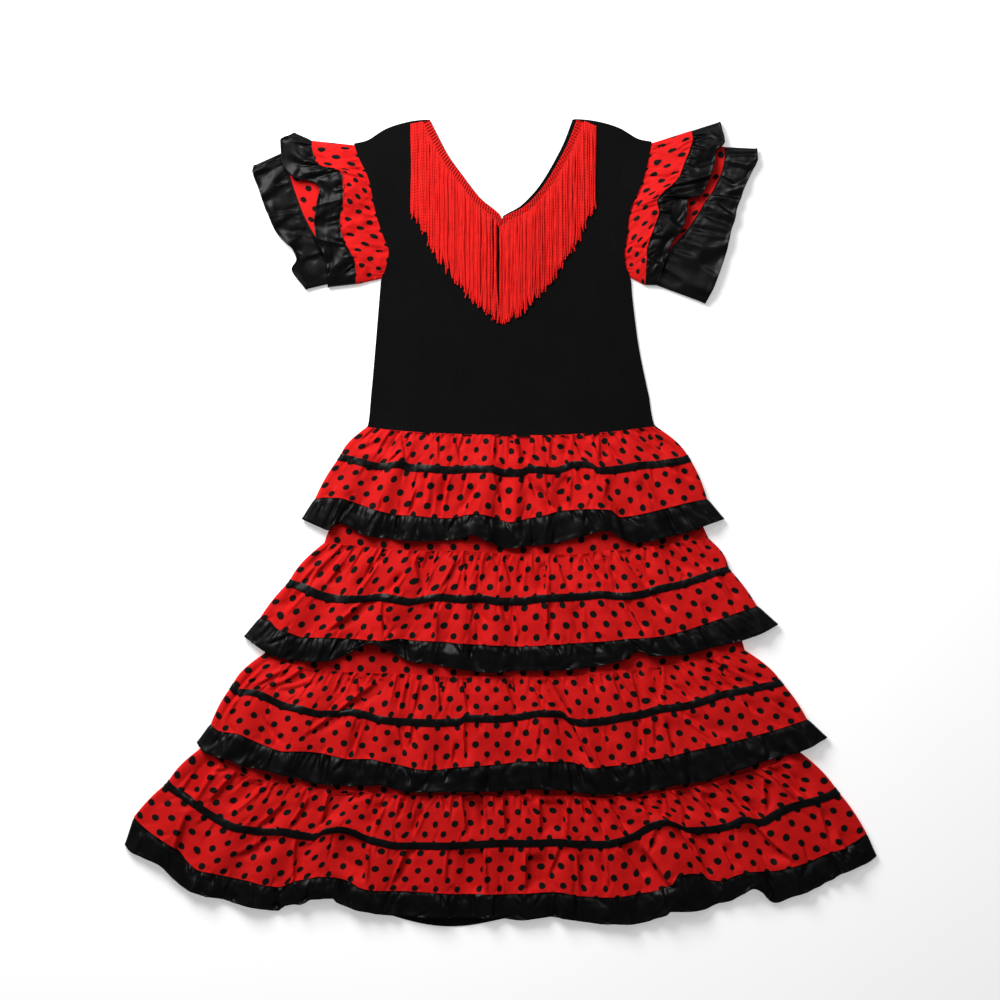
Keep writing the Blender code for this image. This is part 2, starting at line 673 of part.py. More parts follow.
def add_strand(mesh, vert, upper, under, edge, i, cells, ends):
    """A four-sided strand grown from one cell of the braid's outer side."""
    f = (i + 0.5) / cells
    end_x = ends[0][0] + (ends[-1][0] - ends[0][0]) * f
    ordered = sorted(ends)
    end_y = height_on(ordered, end_x) + STRAND_UNEVEN[(i // 2) % len(STRAND_UNEVEN)]
    half = abs(ends[-1][0] - ends[0][0]) / cells * STRAND_FILL
    side = 1 if edge[i + 1][0] > edge[i][0] else -1
    root = (upper[i], upper[i + 1], under[i + 1], under[i])
    near = end_x - half * side
    far = end_x + half * side
    top = FRINGE_Z + STRAND_HEIGHT
    tip = (vert(near, end_y, top), vert(far, end_y, top), vert(far, end_y, FRINGE_Z), vert(near, end_y, FRINGE_Z))
    for k in range(4):
        n = (k + 1) % 4
        mesh.faces.new((root[k], root[n], tip[n], tip[k]))
    mesh.faces.new(tip)


def main():
    clear_scene()
    materials = {
        "jersey": fabric("black_jersey", JERSEY_BLACK, 0.9),
        "satin": fabric("black_satin", SATIN_BLACK, 0.35),
        "dotted": fabric("dotted_red", DOTTED_RED, 0.75),
        "fringe": fabric("red_fringe", FRINGE_RED, 0.7),
    }
    make_bodice(materials["jersey"])
    make_fringe("left", BODICE_LEFT, FRINGE_LEFT_ENDS, -1, materials["fringe"])
    make_fringe("right", BODICE_RIGHT, FRINGE_RIGHT_ENDS, 1, materials["fringe"])
    for number, tier in enumerate(TIERS, 1):
        make_tier(number, tier, materials)
    for number in range(1, len(TIERS)):
        make_base(number, materials["dotted"])
    make_sleeve("left", SLEEVE_LEFT, materials)
    make_sleeve("right", SLEEVE_RIGHT, materials)


main()
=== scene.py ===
"""Looks of a child's flamenco dress laid flat, front up: cloth, gathers, ruffles, ribbons and fringe.

Sizes are millimetres in the dress's own frame: x runs across from its middle, y runs up towards the neck and
z is the height above the surface it lies on. A skirt row is a line of listed (x, y) points from the left
edge to the right. Each cloth is a sheet of quads given a front and an under side.
"""

import math

import bpy
import numpy as np
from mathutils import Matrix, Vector


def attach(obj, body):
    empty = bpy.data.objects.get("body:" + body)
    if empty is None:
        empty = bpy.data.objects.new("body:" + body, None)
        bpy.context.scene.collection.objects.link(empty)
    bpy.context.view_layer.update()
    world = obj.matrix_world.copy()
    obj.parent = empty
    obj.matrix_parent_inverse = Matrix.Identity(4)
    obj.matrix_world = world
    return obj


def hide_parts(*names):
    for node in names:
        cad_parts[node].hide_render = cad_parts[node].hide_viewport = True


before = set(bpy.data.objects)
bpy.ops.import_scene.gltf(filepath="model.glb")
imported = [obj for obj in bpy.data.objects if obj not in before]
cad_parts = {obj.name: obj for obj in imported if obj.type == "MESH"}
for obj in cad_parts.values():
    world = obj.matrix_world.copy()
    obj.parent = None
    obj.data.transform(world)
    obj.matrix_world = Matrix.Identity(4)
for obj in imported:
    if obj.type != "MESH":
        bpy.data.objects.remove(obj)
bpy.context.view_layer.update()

# A millimetre in metres, and the place of the frame's origin in the dress's own millimetres
MM = 0.001
CENTRE_X = 0.5
CENTRE_Y = 0.2

# Thickness of each cloth
DOTTED_THICK = 0.6
SATIN_THICK = 0.5
JERSEY_THICK = 0.8
ROLLED_HEM = 1.5

# Heights of the middle of each layer
FLOOR_LAYER = 0.3
BACK_UNDER_RIBBON = 1.1
BASE_BACK = 3.35
BASE_FRONT = 5.25
FLOUNCE_FRONT = 6.85
CHEST = 3.0
SIDE_SEAM = 2.25
ARMHOLE = 5.6

# Room between a pressed tube's round side and its outline, and under a cloth on the floor
SIDE_ROOM = 0.4
FLOOR_ROOM = 0.05

# Dotted cloth: pitch of the dots along the rows and down the cloth, a dot's radius, and how uneven and how
# soft its edge is
DOT_PITCH_ACROSS = 23.2
DOT_PITCH_DOWN = 19.2
DOT_RADIUS = 3.4
DOT_WANDER = 0.35
DOT_SOFT = 0.35

# Skirt rows. Each tier also has its large gathers, its largest folds as middle, half width and rise, and its
# cloth: width cut for the front, then the distances from the seam to the ribbon and to the hem.
WAIST = ((-133, 97), (-120, 95), (-100, 93), (-70, 91), (-30, 89.5), (0, 89), (40, 88.5), (80, 90), (120, 93),
         (140, 95.5), (156, 97.5))
TIERS = (
    {
        "seam": WAIST,
        "ribbon": (
            (-160, 67), (-150, 65), (-140, 62), (-130, 59), (-120, 57), (-100, 60), (-90, 56.5),
            (-70, 55.5), (-50, 54), (-30, 55), (-10, 55), (5, 51), (20, 51), (30, 55), (55, 53), (65, 56),
            (75, 60), (90, 59), (100, 53), (120, 55), (140, 58.5), (160, 60), (180, 63), (189, 66),
        ),
        "gather": (
            (-184, 25), (-175, 26.5), (-160, 26), (-149, 23), (-135, 18), (-120, 13), (-100, 9), (-81, 8),
            (-60, 6), (-45, 6), (-35, 9), (-22, 10), (-7, 7), (10, 2), (25, 5), (45, 9), (60, 13), (90, 15),
            (110, 14), (120, 7), (130, 8), (150, 12), (170, 17), (190, 22), (206, 25),
        ),
        "hem": (
            (-198, 5), (-189, 1), (-180, -3), (-172, -6), (-161, 1), (-149, -3.6), (-140, -8.7),
            (-130, -12.5), (-114, -14), (-99, -16), (-81, -17), (-48, -16), (-38, -15), (-28, -11),
            (-17, -15), (-7, -19), (0, -23), (10, -24), (25, -22), (40, -21), (60, -18), (75, -14),
            (90, -10), (100, -7), (110, -7), (120, -14), (135, -19), (150, -17), (170, -12), (185, -9),
            (201, -3), (212, 1), (224, 5),
        ),
        "waves": 9,
        "folds": ((-22, 14, 3.0), (105, 16, 3.5)),
        "cloth": (425, 38, 84),
    },
    {
        "seam": (
            (-176, -19), (-150, -21), (-130, -23), (-100, -26), (-60, -27), (-30, -27), (0, -29), (30, -30),
            (70, -30), (100, -27), (120, -26), (140, -24), (160, -21), (180, -18), (209, -15),
        ),
        "ribbon": (
            (-211, -58), (-200, -62), (-190, -66), (-180, -71), (-160, -75), (-140, -75), (-120, -73),
            (-100, -76), (-90, -78), (-80, -76), (-60, -73), (-40, -75), (-20, -74), (0, -77), (20, -77),
            (40, -74), (60, -73), (80, -72), (100, -70), (120, -72), (140, -70), (160, -64), (180, -60),
            (200, -53), (215, -48), (228, -44),
        ),
        "gather": (
            (-239, -94), (-230, -96), (-222, -104), (-210, -108), (-195, -113), (-170, -113), (-150, -114),
            (-120, -116), (-100, -114), (-85, -116), (-60, -117), (-40, -119), (0, -121), (20, -122),
            (40, -121), (70, -119), (100, -117), (130, -114), (160, -112), (180, -107), (200, -101),
            (220, -94), (240, -87), (256, -82),
        ),
        "hem": (
            (-256, -112), (-250, -116), (-236, -126), (-225, -131), (-210, -135), (-190, -137),
            (-175, -137), (-160, -133), (-145, -126), (-130, -119), (-122, -121), (-110, -126),
            (-100, -132), (-90, -137), (-70, -139), (-50, -143), (-30, -146), (-10, -148), (20, -146),
            (50, -146), (80, -144), (100, -141), (120, -136), (130, -130), (140, -127), (150, -131),
            (170, -131), (185, -130), (200, -126), (220, -121), (241, -116), (263, -108), (278, -100),
        ),
        "waves": 11,
        "folds": ((-128, 18, 4.0), (140, 16, 4.0)),
        "cloth": (540, 47, 90),
    },
    {
        "seam": (
            (-236, -129), (-225, -134), (-210, -139), (-190, -144), (-170, -146), (-140, -148),
            (-100, -149), (-50, -152), (0, -152), (40, -153), (70, -152), (100, -148), (140, -144),
            (170, -140), (200, -136), (225, -131), (245, -126),
        ),
        "ribbon": (
            (-269, -159), (-262, -167), (-250, -167), (-240, -169), (-230, -174), (-215, -181),
            (-200, -184), (-180, -189), (-165, -189), (-150, -187), (-135, -190), (-120, -195),
            (-100, -197), (-60, -198), (-40, -197), (-35, -193), (0, -194), (20, -192), (40, -188),
            (60, -189), (70, -196), (80, -198), (100, -197), (120, -193), (140, -190), (160, -184),
            (180, -182), (200, -177), (220, -170), (240, -166), (260, -162), (281, -158),
        ),
        "gather": (
            (-289, -199), (-280, -206), (-260, -209), (-245, -216), (-230, -222), (-215, -226),
            (-200, -226), (-180, -228), (-165, -231), (-150, -234), (-130, -234), (-115, -237),
            (-100, -240), (-80, -244), (-65, -245), (-50, -243), (-30, -241), (0, -239), (30, -236),
            (70, -237), (90, -243), (110, -241), (130, -239), (150, -235), (170, -231), (190, -226),
            (220, -219), (250, -212), (280, -203), (306, -195),
        ),
        "hem": (
            (-304, -216), (-294, -228), (-270, -235), (-255, -242), (-240, -244), (-220, -249),
            (-200, -254), (-180, -259), (-140, -261), (-120, -260), (-105, -264), (-90, -267), (0, -266),
            (40, -264), (70, -266), (90, -269), (120, -269), (140, -266), (160, -264), (175, -260),
            (190, -258), (210, -254), (230, -247), (250, -241), (270, -234), (290, -229), (301, -226),
            (327, -213),
        ),
        "waves": 12,
        "folds": ((-225, 16, 3.0), (-36, 14, 2.5), (40, 16, 3.0), (210, 20, 3.0)),
        "cloth": (650, 46, 92),
    },
    {
        "seam": (
            (-294, -213), (-286, -230), (-265, -246), (-230, -257), (-200, -261), (-170, -265),
            (-140, -267), (-105, -270), (-90, -271), (-50, -270), (0, -271), (40, -271), (70, -271),
            (100, -273), (120, -272), (140, -270), (175, -265), (200, -260), (230, -252), (260, -244),
            (280, -236), (292, -217),
        ),
        "ribbon": (
            (-334, -256), (-328, -263), (-315, -271), (-305, -278), (-290, -289), (-280, -295),
            (-265, -302), (-250, -305), (-235, -307), (-220, -306), (-200, -310), (-185, -312),
            (-175, -306), (-160, -304), (-145, -308), (-135, -313), (-120, -317), (-100, -321), (-60, -321),
            (-30, -320), (0, -318), (40, -318), (60, -317), (80, -319), (100, -319), (120, -316),
            (135, -310), (145, -303), (155, -298), (165, -296), (175, -299), (190, -305), (210, -304),
            (230, -300), (245, -294), (260, -297), (275, -289), (290, -282), (310, -276), (325, -272),
            (338, -266),
        ),
        "gather": (
            (-367, -290), (-360, -298), (-350, -306), (-335, -316), (-320, -326), (-312, -336),
            (-300, -345), (-285, -348), (-265, -353), (-250, -356), (-235, -360), (-220, -362),
            (-210, -358), (-195, -354), (-180, -351), (-165, -352), (-150, -356), (-140, -362),
            (-125, -365), (-100, -366), (-70, -367), (-40, -369), (0, -369), (60, -367), (80, -371),
            (100, -372), (120, -371), (140, -368), (160, -364), (170, -359), (177, -351), (190, -348),
            (200, -349), (210, -355), (220, -356), (235, -350), (250, -346), (270, -346), (290, -342),
            (310, -336), (325, -329), (345, -322), (367, -308),
        ),
        "hem": (
            (-377, -316), (-370, -326), (-358, -332), (-341, -339), (-332, -347), (-324, -355),
            (-316, -362), (-300, -369), (-278, -374), (-257, -380), (-237, -384), (-221, -386),
            (-216, -381), (-196, -378), (-188, -374), (-167, -373), (-163, -377), (-150, -382.6),
            (-132, -387), (-112, -390), (-60, -392), (0, -393), (20, -395), (51, -392), (79, -396),
            (102, -398.7), (133, -399), (153, -394), (166, -389), (170, -386), (189, -386), (204, -384),
            (219, -378), (230, -376), (242, -368.6), (253, -363), (260, -366), (270, -376), (275, -378),
            (291, -372), (311, -365), (331, -354.5), (344, -347), (367, -338), (378, -330),
        ),
        "waves": 14,
        "folds": ((-305, 16, 3.5), (-177, 20, 5.0), (165, 24, 5.0), (255, 16, 4.0)),
        "cloth": (790, 50, 100),
    },
)

# Main creases of each tier, read one by one: x and y of both ends, depth, width of the steep side and width
# of the other side. A negative width turns the steep side to larger x.
MAIN_CREASES = {
    1: (
        (-122, 84, -140, 72, 1.2, 1.4, 5), (-98, 88, -93, 63, 1.8, 1, 3),
        (-100, 73, -111, 61, 1.8, 1.2, 3), (-82, 38, -91, 8, 2, 1.2, 4), (-72, 50, -76, 18, 2.2, -1.8, 6),
        (-61, 88, -60, 61, 1.4, 1, 4), (-52, 50, -59, 8, 2.2, -1.2, 5), (-45, 86, -37, 58, 1.6, 1, 3),
        (-23, 40, -38, 10, 2.6, -1.4, 6), (-4, 88, -6, 61, 2.4, 1.1, 3), (-6, 52, 4, 14, 1.8, 1.2, 5),
        (13, 87, 17, 62, 2, -1.2, 5), (29, 88, 27, 58, 3, -2, 6), (28, 48, 38, 24, 2.2, 1.6, 5),
        (40, 38, 56, 12, 3, -1.4, 8), (51, 84, 50, 58, 1.4, 1, 4), (68, 88, 66, 62, 2.2, -1.6, 5),
        (67, 50, 65, 14, 3.4, -1.6, 8), (73, 87, 83, 65, 2, 1, 3), (74, 56, 85, 40, 1.8, 1.2, 4),
        (92, 86, 99, 66, 1.6, 1, 3), (102, 88, 101, 61, 3.6, 2.2, 6), (106, 78, 118, 61, 2, 1, 4),
        (136, 93, 168, 67, 2.2, 1.2, 6), (152, 84, 190, 66, 1.4, 1.2, 5), (167, 58, 192, 41, 2, 1.2, 5),
        (110, 48, 106, 22, 1.6, 2, 9), (140, 44, 152, 20, 1.6, -2, 9),
    ),
    2: (
        (-154, -17, -192, -62, 2.2, 1.4, 6), (-172, -24, -200, -48, 1.8, 1.4, 5),
        (-182, -42, -196, -60, 1.8, 1.2, 4), (-154, -36, -174, -64, 2, 1.2, 5),
        (-123, -38, -146, -70, 2.2, -1.3, 6), (-116, -24, -124, -39, 1.8, 1, 4),
        (-96, -47, -114, -75, 3, -1.3, 5), (-83, -32, -73, -76, 2.8, 1.2, 4),
        (-66, -25, -76, -68, 3.2, -1.4, 5), (-41, -34, -60, -66, 2.2, 1.2, 6),
        (-36, -22, -32, -68, 2.4, 1.2, 5), (-19, -32, -22, -68, 1.8, -1.1, 4),
        (-8, -30, -2, -48, 1.6, 1, 3), (3, -32, 13, -64, 2.2, 1.1, 4), (23, -34, 20, -68, 1.8, -1.4, 5),
        (46, -36, 45, -73, 3.6, -1.6, 9), (56, -28, 70, -68, 2, 1.2, 6), (82, -27, 103, -60, 2.4, 1.2, 6),
        (102, -32, 116, -56, 1.6, 1.1, 4), (118, -27, 156, -70, 2.6, 1.3, 6),
        (156, -23, 192, -52, 2.4, 1.3, 5), (176, -20, 208, -49, 2, 1.2, 5),
        (140, -32, 148, -50, 1.6, 1, 4), (-197, -67, -217, -90, 2.4, -1.2, 5),
        (-133, -76, -172, -110, 3.4, 1.6, 8), (-117, -78, -115, -113, 2.2, 1.1, 4),
        (-114, -90, -107, -113, 1.8, 1.1, 4), (-66, -78, -67, -116, 3.6, -1.6, 10),
        (-30, -76, -12, -102, 2.2, 1.2, 5), (0, -79, 7, -98, 1.8, 1.1, 4),
        (12, -80, 16, -118, 1.8, -1.1, 5), (49, -78, 48, -118, 2.4, 1.2, 5),
        (80, -80, 82, -118, 2.6, -1.6, 8), (122, -74, 146, -113, 3, 1.4, 7),
        (148, -68, 168, -88, 1.8, 1.2, 5), (200, -76, 212, -98, 1.4, 1.6, 6),
        (216, -50, 236, -76, 2, 1.3, 5),
    ),
    3: (
        (-236, -138, -283, -205, 4.2, -1.6, 12), (-188, -144, -238, -168, 1.8, 1.3, 5),
        (-214, -146, -244, -164, 1.6, 1.2, 4), (-182, -156, -226, -166, 1.4, 1.2, 4),
        (-156, -143, -166, -170, 1.8, 1.1, 4), (-142, -153, -140, -179, 2, 1.1, 4),
        (-116, -156, -199, -215, 3.8, 1.5, 7), (-128, -147, -118, -166, 1.8, 1.1, 4),
        (-95, -151, -103, -189, 2.2, -1.2, 5), (-81, -158, -85, -192, 1.6, 1.2, 5),
        (-60, -152, -58, -192, 1.8, 1.1, 5), (-37, -152, -31, -192, 2.6, 1.2, 4),
        (-35, -198, -32, -238, 2.4, 1.3, 5), (-86, -198, -89, -224, 2.2, 1.3, 4),
        (-100, -202, -96, -232, 1.6, 1.2, 5), (-238, -192, -219, -222, 1.6, 1.4, 6),
        (-139, -198, -148, -233, 2.2, -1.2, 5), (-44, -216, -48, -242, 1.8, 1.2, 5),
        (6, -156, 17, -190, 2.4, 1.2, 5), (34, -160, 45, -189, 1.6, 1.2, 5),
        (48, -157, 73, -198, 3.2, -1.5, 8), (62, -180, 94, -244, 4.2, -1.6, 12),
        (40, -198, 38, -234, 1.4, 1.6, 7), (90, -149, 98, -168, 1.8, 1.1, 4),
        (113, -150, 122, -178, 1.8, 1.1, 4), (132, -146, 141, -190, 2.4, 1.1, 4),
        (141, -192, 142, -233, 2.4, -1.2, 5), (152, -194, 154, -224, 1.8, 1.1, 4),
        (161, -140, 158, -182, 3.2, -1.3, 7), (172, -160, 192, -178, 1.6, 1.1, 4),
        (166, -192, 174, -231, 2, 1.2, 6), (183, -187, 222, -217, 2.4, 1.4, 8),
        (212, -139, 243, -167, 2.2, 1.1, 4), (200, -144, 231, -175, 2, 1.1, 5),
        (235, -143, 270, -172, 2.4, 1.2, 5), (268, -174, 302, -196, 1.8, 1.2, 5),
        (242, -176, 260, -192, 1.2, 1.4, 6),
    ),
    4: (
        (-278, -234, -316, -288, 4, -1.6, 9), (-295, -240, -320, -272, 2, 1.2, 5),
        (-310, -290, -322, -334, 2.4, 1.6, 9), (-259, -245, -291, -282, 2.2, 1.2, 5),
        (-236, -258, -278, -290, 2.6, -1.4, 7), (-214, -279, -244, -305, 2.2, 1.3, 6),
        (-189, -274, -210, -308, 2, 1.2, 6), (-166, -260, -178, -302, 3.6, 1.6, 20),
        (-116, -276, -130, -310, 3, -1.4, 9), (-98, -274, -104, -296, 1.6, 1.1, 4),
        (-74, -284, -87, -314, 2.2, -1.2, 6), (-59, -271, -53, -288, 1.6, 1, 3),
        (-36, -271, -30, -313, 2.8, 1.2, 5), (-18, -276, -16, -312, 2.2, -1.2, 5),
        (3, -273, 7, -314, 3.2, 1.2, 4), (23, -274, 34, -290, 2, 1, 4), (41, -276, 42, -314, 3.4, 1.5, 12),
        (66, -276, 63, -314, 2.6, -1.3, 9), (81, -275, 86, -294, 1.8, 1, 4),
        (90, -275, 102, -308, 2.2, 1.1, 5), (110, -276, 128, -310, 2.4, 1.2, 6),
        (140, -272, 152, -300, 1.8, 1.1, 5), (160, -266, 162, -298, 2.2, -1.2, 5),
        (174, -264, 188, -294, 2.4, 1.2, 6), (200, -268, 219, -297, 3.2, 1.4, 7),
        (218, -259, 246, -289, 2.8, 1.2, 5), (244, -274, 262, -295, 2.2, 1.1, 4),
        (264, -256, 266, -292, 2.8, 1.2, 6), (270, -243, 302, -276, 2.8, 1.3, 6),
        (290, -247, 308, -276, 1.8, 1.1, 4), (-228, -312, -268, -334, 1.6, 1.6, 8),
        (-203, -314, -202, -360, 3, 1.6, 14), (-134, -310, -135, -362, 4.6, -1.4, 30),
        (-90, -318, -108, -363, 2.6, 1.3, 6), (-50, -322, -54, -360, 1.4, 1.2, 6),
        (-17, -324, -16, -370, 4.4, -1.3, 18), (27, -328, 28, -368, 4.4, 1.3, 18),
        (60, -322, 48, -356, 1.8, 1.2, 6), (77, -326, 82, -370, 2.4, 1.3, 8),
        (102, -326, 106, -368, 2, -1.2, 6), (118, -317, 146, -358, 3.4, 1.3, 8),
        (136, -318, 182, -363, 3, -1.3, 9), (156, -304, 148, -328, 2, 1.2, 8),
        (176, -302, 190, -326, 3, -1.5, 10), (190, -308, 208, -352, 3, 1.4, 12),
        (252, -300, 292, -338, 3.6, -1.4, 12), (222, -318, 236, -346, 1.6, 1.4, 7),
        (318, -282, 332, -322, 1.8, 1.4, 7), (336, -304, 348, -328, 1.8, 1.2, 5),
    ),
}

# Heights of each skirt row: the level of the hollows, then the rise of the gathers. FOLD_SHARE is how much of
# a large fold a row takes.
ROWS = ("seam", "ribbon", "gather", "hem")
ROW_HEIGHTS = {"seam": (FLOUNCE_FRONT, 1.2), "ribbon": (8.4, 3.8), "gather": (8.8, 5.2), "hem": (8.0, 4.6)}
LAST_TIER_HEIGHTS = {
    "seam": (FLOUNCE_FRONT, 1.2), "ribbon": (7.0, 4.0), "gather": (6.2, 5.6), "hem": (4.6, 5.2),
}
FOLD_SHARE = {"seam": 0.0, "ribbon": 0.6, "gather": 1.0, "hem": 0.9}
WAVE_DRIFT = 0.35
WAVE_UNEVEN = 0.35

# Creases: the most that a trough goes below its row's level, the strength and length they are pressed with,
# how much cloth they take up and how near to them
DEEPEST = 2.4
LAST_TIER_DEEPEST = 3.4
CREASE_DEPTH = 1.75
LAST_TIER_CREASE_DEPTH = 2.0
CREASE_FULL = 0.62
SLANT_LIMIT = 2.4
TUCK_SHARE = 1.7
TUCK_LIMIT = 1.8
TUCK_REACH = 20.0
SIDE_FADE = 0.11
CLOTH_DRIFT = 3.0
CLOTH_START = 5.3
SEAM_NEAR = 0.13

# Form of a crease beside its trough, in widths of its steep side: place and width of the ridge, and the width
# over which it takes up cloth. RIDGE_RISE is the ridge's share of the depth.
RIDGE_PLACE = 1.7
RIDGE_WIDTH = 1.2
RIDGE_RISE = 0.45
TAKING_WIDTH = 0.8

# Share of the width over which the relief fades out at the sides of each cloth, and rise of the unevenness
FLOUNCE_SIDES = 0.015
BASE_SIDES = 0.02
SLEEVE_SIDES = 0.05
NOISE_RISE = 0.5

# Fine gathers: spacing, where they start and how far they reach down the cloth, depth, cloth taken up, width
# of the steep side and sideways drift. Each reaches one of the shares below of its way.
GATHER_REACHES = (0.3, 0.45, 0.6, 0.8, 1.0, 1.3)
GATHER_CHANCES = (0.2, 0.25, 0.2, 0.15, 0.12, 0.08)
FLOUNCE_GATHERS = (
    ("seam", 8.5, 0.0, 0.75, 1.8, 3.0, 1.1, 0.01),
    ("middle", 12.0, 1.0, -0.5, 1.5, 2.4, 1.1, 0.01),
    ("middle", 11.5, 1.0, 0.55, 1.6, 2.6, 1.1, 0.01),
    ("hem", 15.0, 2.0, -0.45, 1.3, 2.0, 1.1, 0.01),
)
RUFFLE_GATHERS = (
    (8.0, 0.0, 0.9, 1.1, 0.0, 1.0, 0.006),
    (19.0, 0.0, 1.5, 2.2, 0.0, 1.4, 0.014),
    (30.0, 1.0, -0.9, 1.5, 0.0, 1.8, 0.012),
)
BASE_GATHERS = (
    (30.0, 1.05, -0.5, 0.5, 0.0, 2.2, 0.01),
)

# Flounces and ribbons
FRONT_STEP = 1.12
FLOUNCE_ROW_STEP = 2.3
BACK_STEP = 7.0
BACK_CREASE_WIDTH = 9.0
BACK_RIBBON_REACH = 0.22
BACK_SIDES = 0.3
FOLD_STEPS = 7
FOLD_CLOTH = 11.0
SIDE_BULGE = (4.2, 1.6)
RIBBON_WIDTH = 7.6
RIBBON_THICK = 0.35
RIBBON_LIFT = 0.72
RIBBON_HOLD = 0.92
RIBBON_HOLD_REACH = 0.13
RIBBON_LEAN = 1.5
RIBBON_CROWN = (0.0, 0.1, 0.2, 0.22, 0.2, 0.1, 0.0)
RIBBON_ROWS = (-1.0, -0.9, -0.45, 0.0, 0.45, 0.9, 1.0)

# Ruffles. The last one's back hangs lower over one span of x.
RUFFLE_STEP = 1.2
RUFFLE_ROWS = 15
RUFFLE_LENGTH = 26.0
RUFFLE_WAVE = 3.4
RUFFLE_WAVE_GROWTH = 1.3
RUFFLE_ROLL = 0.9
RUFFLE_LAST_ROW = 0.96
SEAM_TUCK = 1.0
SEAM_DROP = 1.3
BACK_HEM_DROP = 10.0
BACK_HEM_SPAN = (-112, 8)

# Plain skirt panels: how far each end is tucked in, the last panel's lower end farther
BASE_STEP = 3.2
BASE_ROWS = 20
BASE_BACK_COLUMNS = 30
BASE_TUCK = 0.3
BASE_RELIEF = (-0.4, 0.5)
BASE_NOISE = 0.15
BASE_CLOTH_START = 4.0
LAST_BASE_TUCK = 4.0

# Bodice sections from the waist to the shoulder: side_x, side_y, neck_x, neck_y, side_z, middle_z
BODICE_LEFT = (
    (-133, 97.0, 0, 89.0, SIDE_SEAM, FLOUNCE_FRONT),
    (-129, 127, 0, 122, SIDE_SEAM, 5.0),
    (-124, 183, 0, 176, SIDE_SEAM, CHEST),
    (-120, 232, 0, 226, SIDE_SEAM, CHEST),
    (-119, 243, 0, 262, 3.2, CHEST),
    (-114, 256, 0, 284, 4.6, CHEST),
    (-111, 272, 2, 304.5, ARMHOLE, CHEST),
    (-117, 288, -20, 326, ARMHOLE, CHEST),
    (-125, 314, -37, 348, ARMHOLE, CHEST),
    (-131, 344, -52, 369, ARMHOLE, CHEST),
    (-140, 364, -62, 388, 4.6, CHEST),
    (-146, 381, -70, 404, 3.2, CHEST),
)
BODICE_RIGHT = (
    (156, 97.0, 0, 89.0, SIDE_SEAM, FLOUNCE_FRONT),
    (149, 127, 0, 122, SIDE_SEAM, 5.0),
    (138, 181, 0, 176, SIDE_SEAM, CHEST),
    (132, 230, 0, 226, SIDE_SEAM, CHEST),
    (131, 243, 0, 262, 3.2, CHEST),
    (126, 256, 0, 284, 4.6, CHEST),
    (124, 269, 2, 304.5, ARMHOLE, CHEST),
    (127, 289, 22, 318, ARMHOLE, CHEST),
    (129, 309, 40, 337, ARMHOLE, CHEST),
    (143, 344, 56, 363, ARMHOLE, CHEST),
    (148, 364, 66, 383, 4.6, CHEST),
    (151.5, 383, 74, 404.5, 3.2, CHEST),
)
V_POINT_ROW = 6
BACK_NECK_SHIFT = -1.5
SHOULDER_DIP = 4.0
SHOULDER_DIP_PLACE = 0.18
SHOULDER_DIP_WIDTH = 0.16
SHOULDER_DIP_ROWS = (9.0, 11.0)
WAIST_TUCK = 1.4
BACK_WAIST_RISE = 0.3
FRONT_BEND = 0.35
BACK_BEND = 0.1
BODICE_SPREAD = 1.05
BODICE_ROWS_PER_SECTION = 4
BODICE_COLUMNS = 44

# Sleeve sections from the shoulder to the underarm, (x, y) of each row
SLEEVE_ROWS = ("armhole", "gather", "frill", "lower", "cuff")
SLEEVE_LEFT = (
    ((-146, 381), (-188, 383), (-205, 391), (-216, 373), (-246, 358)),
    ((-144, 375), (-187, 374), (-219, 382), (-216, 367), (-247, 352)),
    ((-140, 364), (-183, 361), (-218, 364), (-213, 358), (-244, 343)),
    ((-136, 354), (-176, 356), (-205, 345), (-210, 349), (-240, 332)),
    ((-131, 344), (-160, 352), (-186, 341), (-206, 336), (-236, 320)),
    ((-128, 329), (-156, 338), (-180, 332), (-201, 322), (-231, 308)),
    ((-125, 314), (-156, 322), (-183, 316), (-196, 309), (-226, 296)),
    ((-121, 300), (-159, 304), (-185, 300), (-190, 297), (-218, 284)),
    ((-115, 284), (-158, 288), (-183, 282), (-182, 283), (-207, 274)),
    ((-111, 270), (-149, 271), (-174, 265), (-174, 270), (-203, 264)),
    ((-114, 254), (-144, 258), (-172, 252), (-169, 259), (-208, 254)),
    ((-119, 243), (-144, 239), (-172, 236), (-164, 240), (-194, 234)),
)
SLEEVE_RIGHT = (
    ((151.5, 383), (191, 393), (220, 402), (224, 378), (257, 375)),
    ((151, 374), (192, 384), (224, 381), (224, 366), (257, 364)),
    ((148, 364), (189, 373), (216, 372), (222, 354), (250, 349)),
    ((145, 352), (183, 358), (214, 360), (218, 344), (244, 336)),
    ((141, 339), (177, 343), (208, 342), (212, 332), (240, 325)),
    ((134, 323), (163, 331), (199, 327), (205, 322), (236, 313)),
    ((130, 312), (157, 322), (187, 324), (199, 312), (234, 303)),
    ((128, 299), (159, 311), (186, 308), (192, 301), (230, 291)),
    ((126, 280), (154, 296), (181, 294), (182, 288), (226, 272)),
    ((123, 270), (148, 280), (172, 281), (172, 277), (220, 254)),
    ((126, 256), (146, 262), (166, 266), (162, 261), (213, 235)),
    ((131, 244), (145, 238), (157, 238), (148, 240), (205, 220)),
)
SLEEVE_STEP = 1.2
SLEEVE_WAVES = 5
SLEEVE_PIECE_ROWS = 29
SLEEVE_OUTLINE_POINTS = 60
SLEEVE_LAST_ROW = 0.97
SLEEVE_SWELL = 0.6
SLEEVE_DEEPEST = 0.3
SLEEVE_CLOTH_START = 5.0
SLEEVE_LENGTH_FULL = 1.15
LOWER_TRIM = 1.0
LOWER_BACK = 2.25
LOWER_FRONT = 4.15

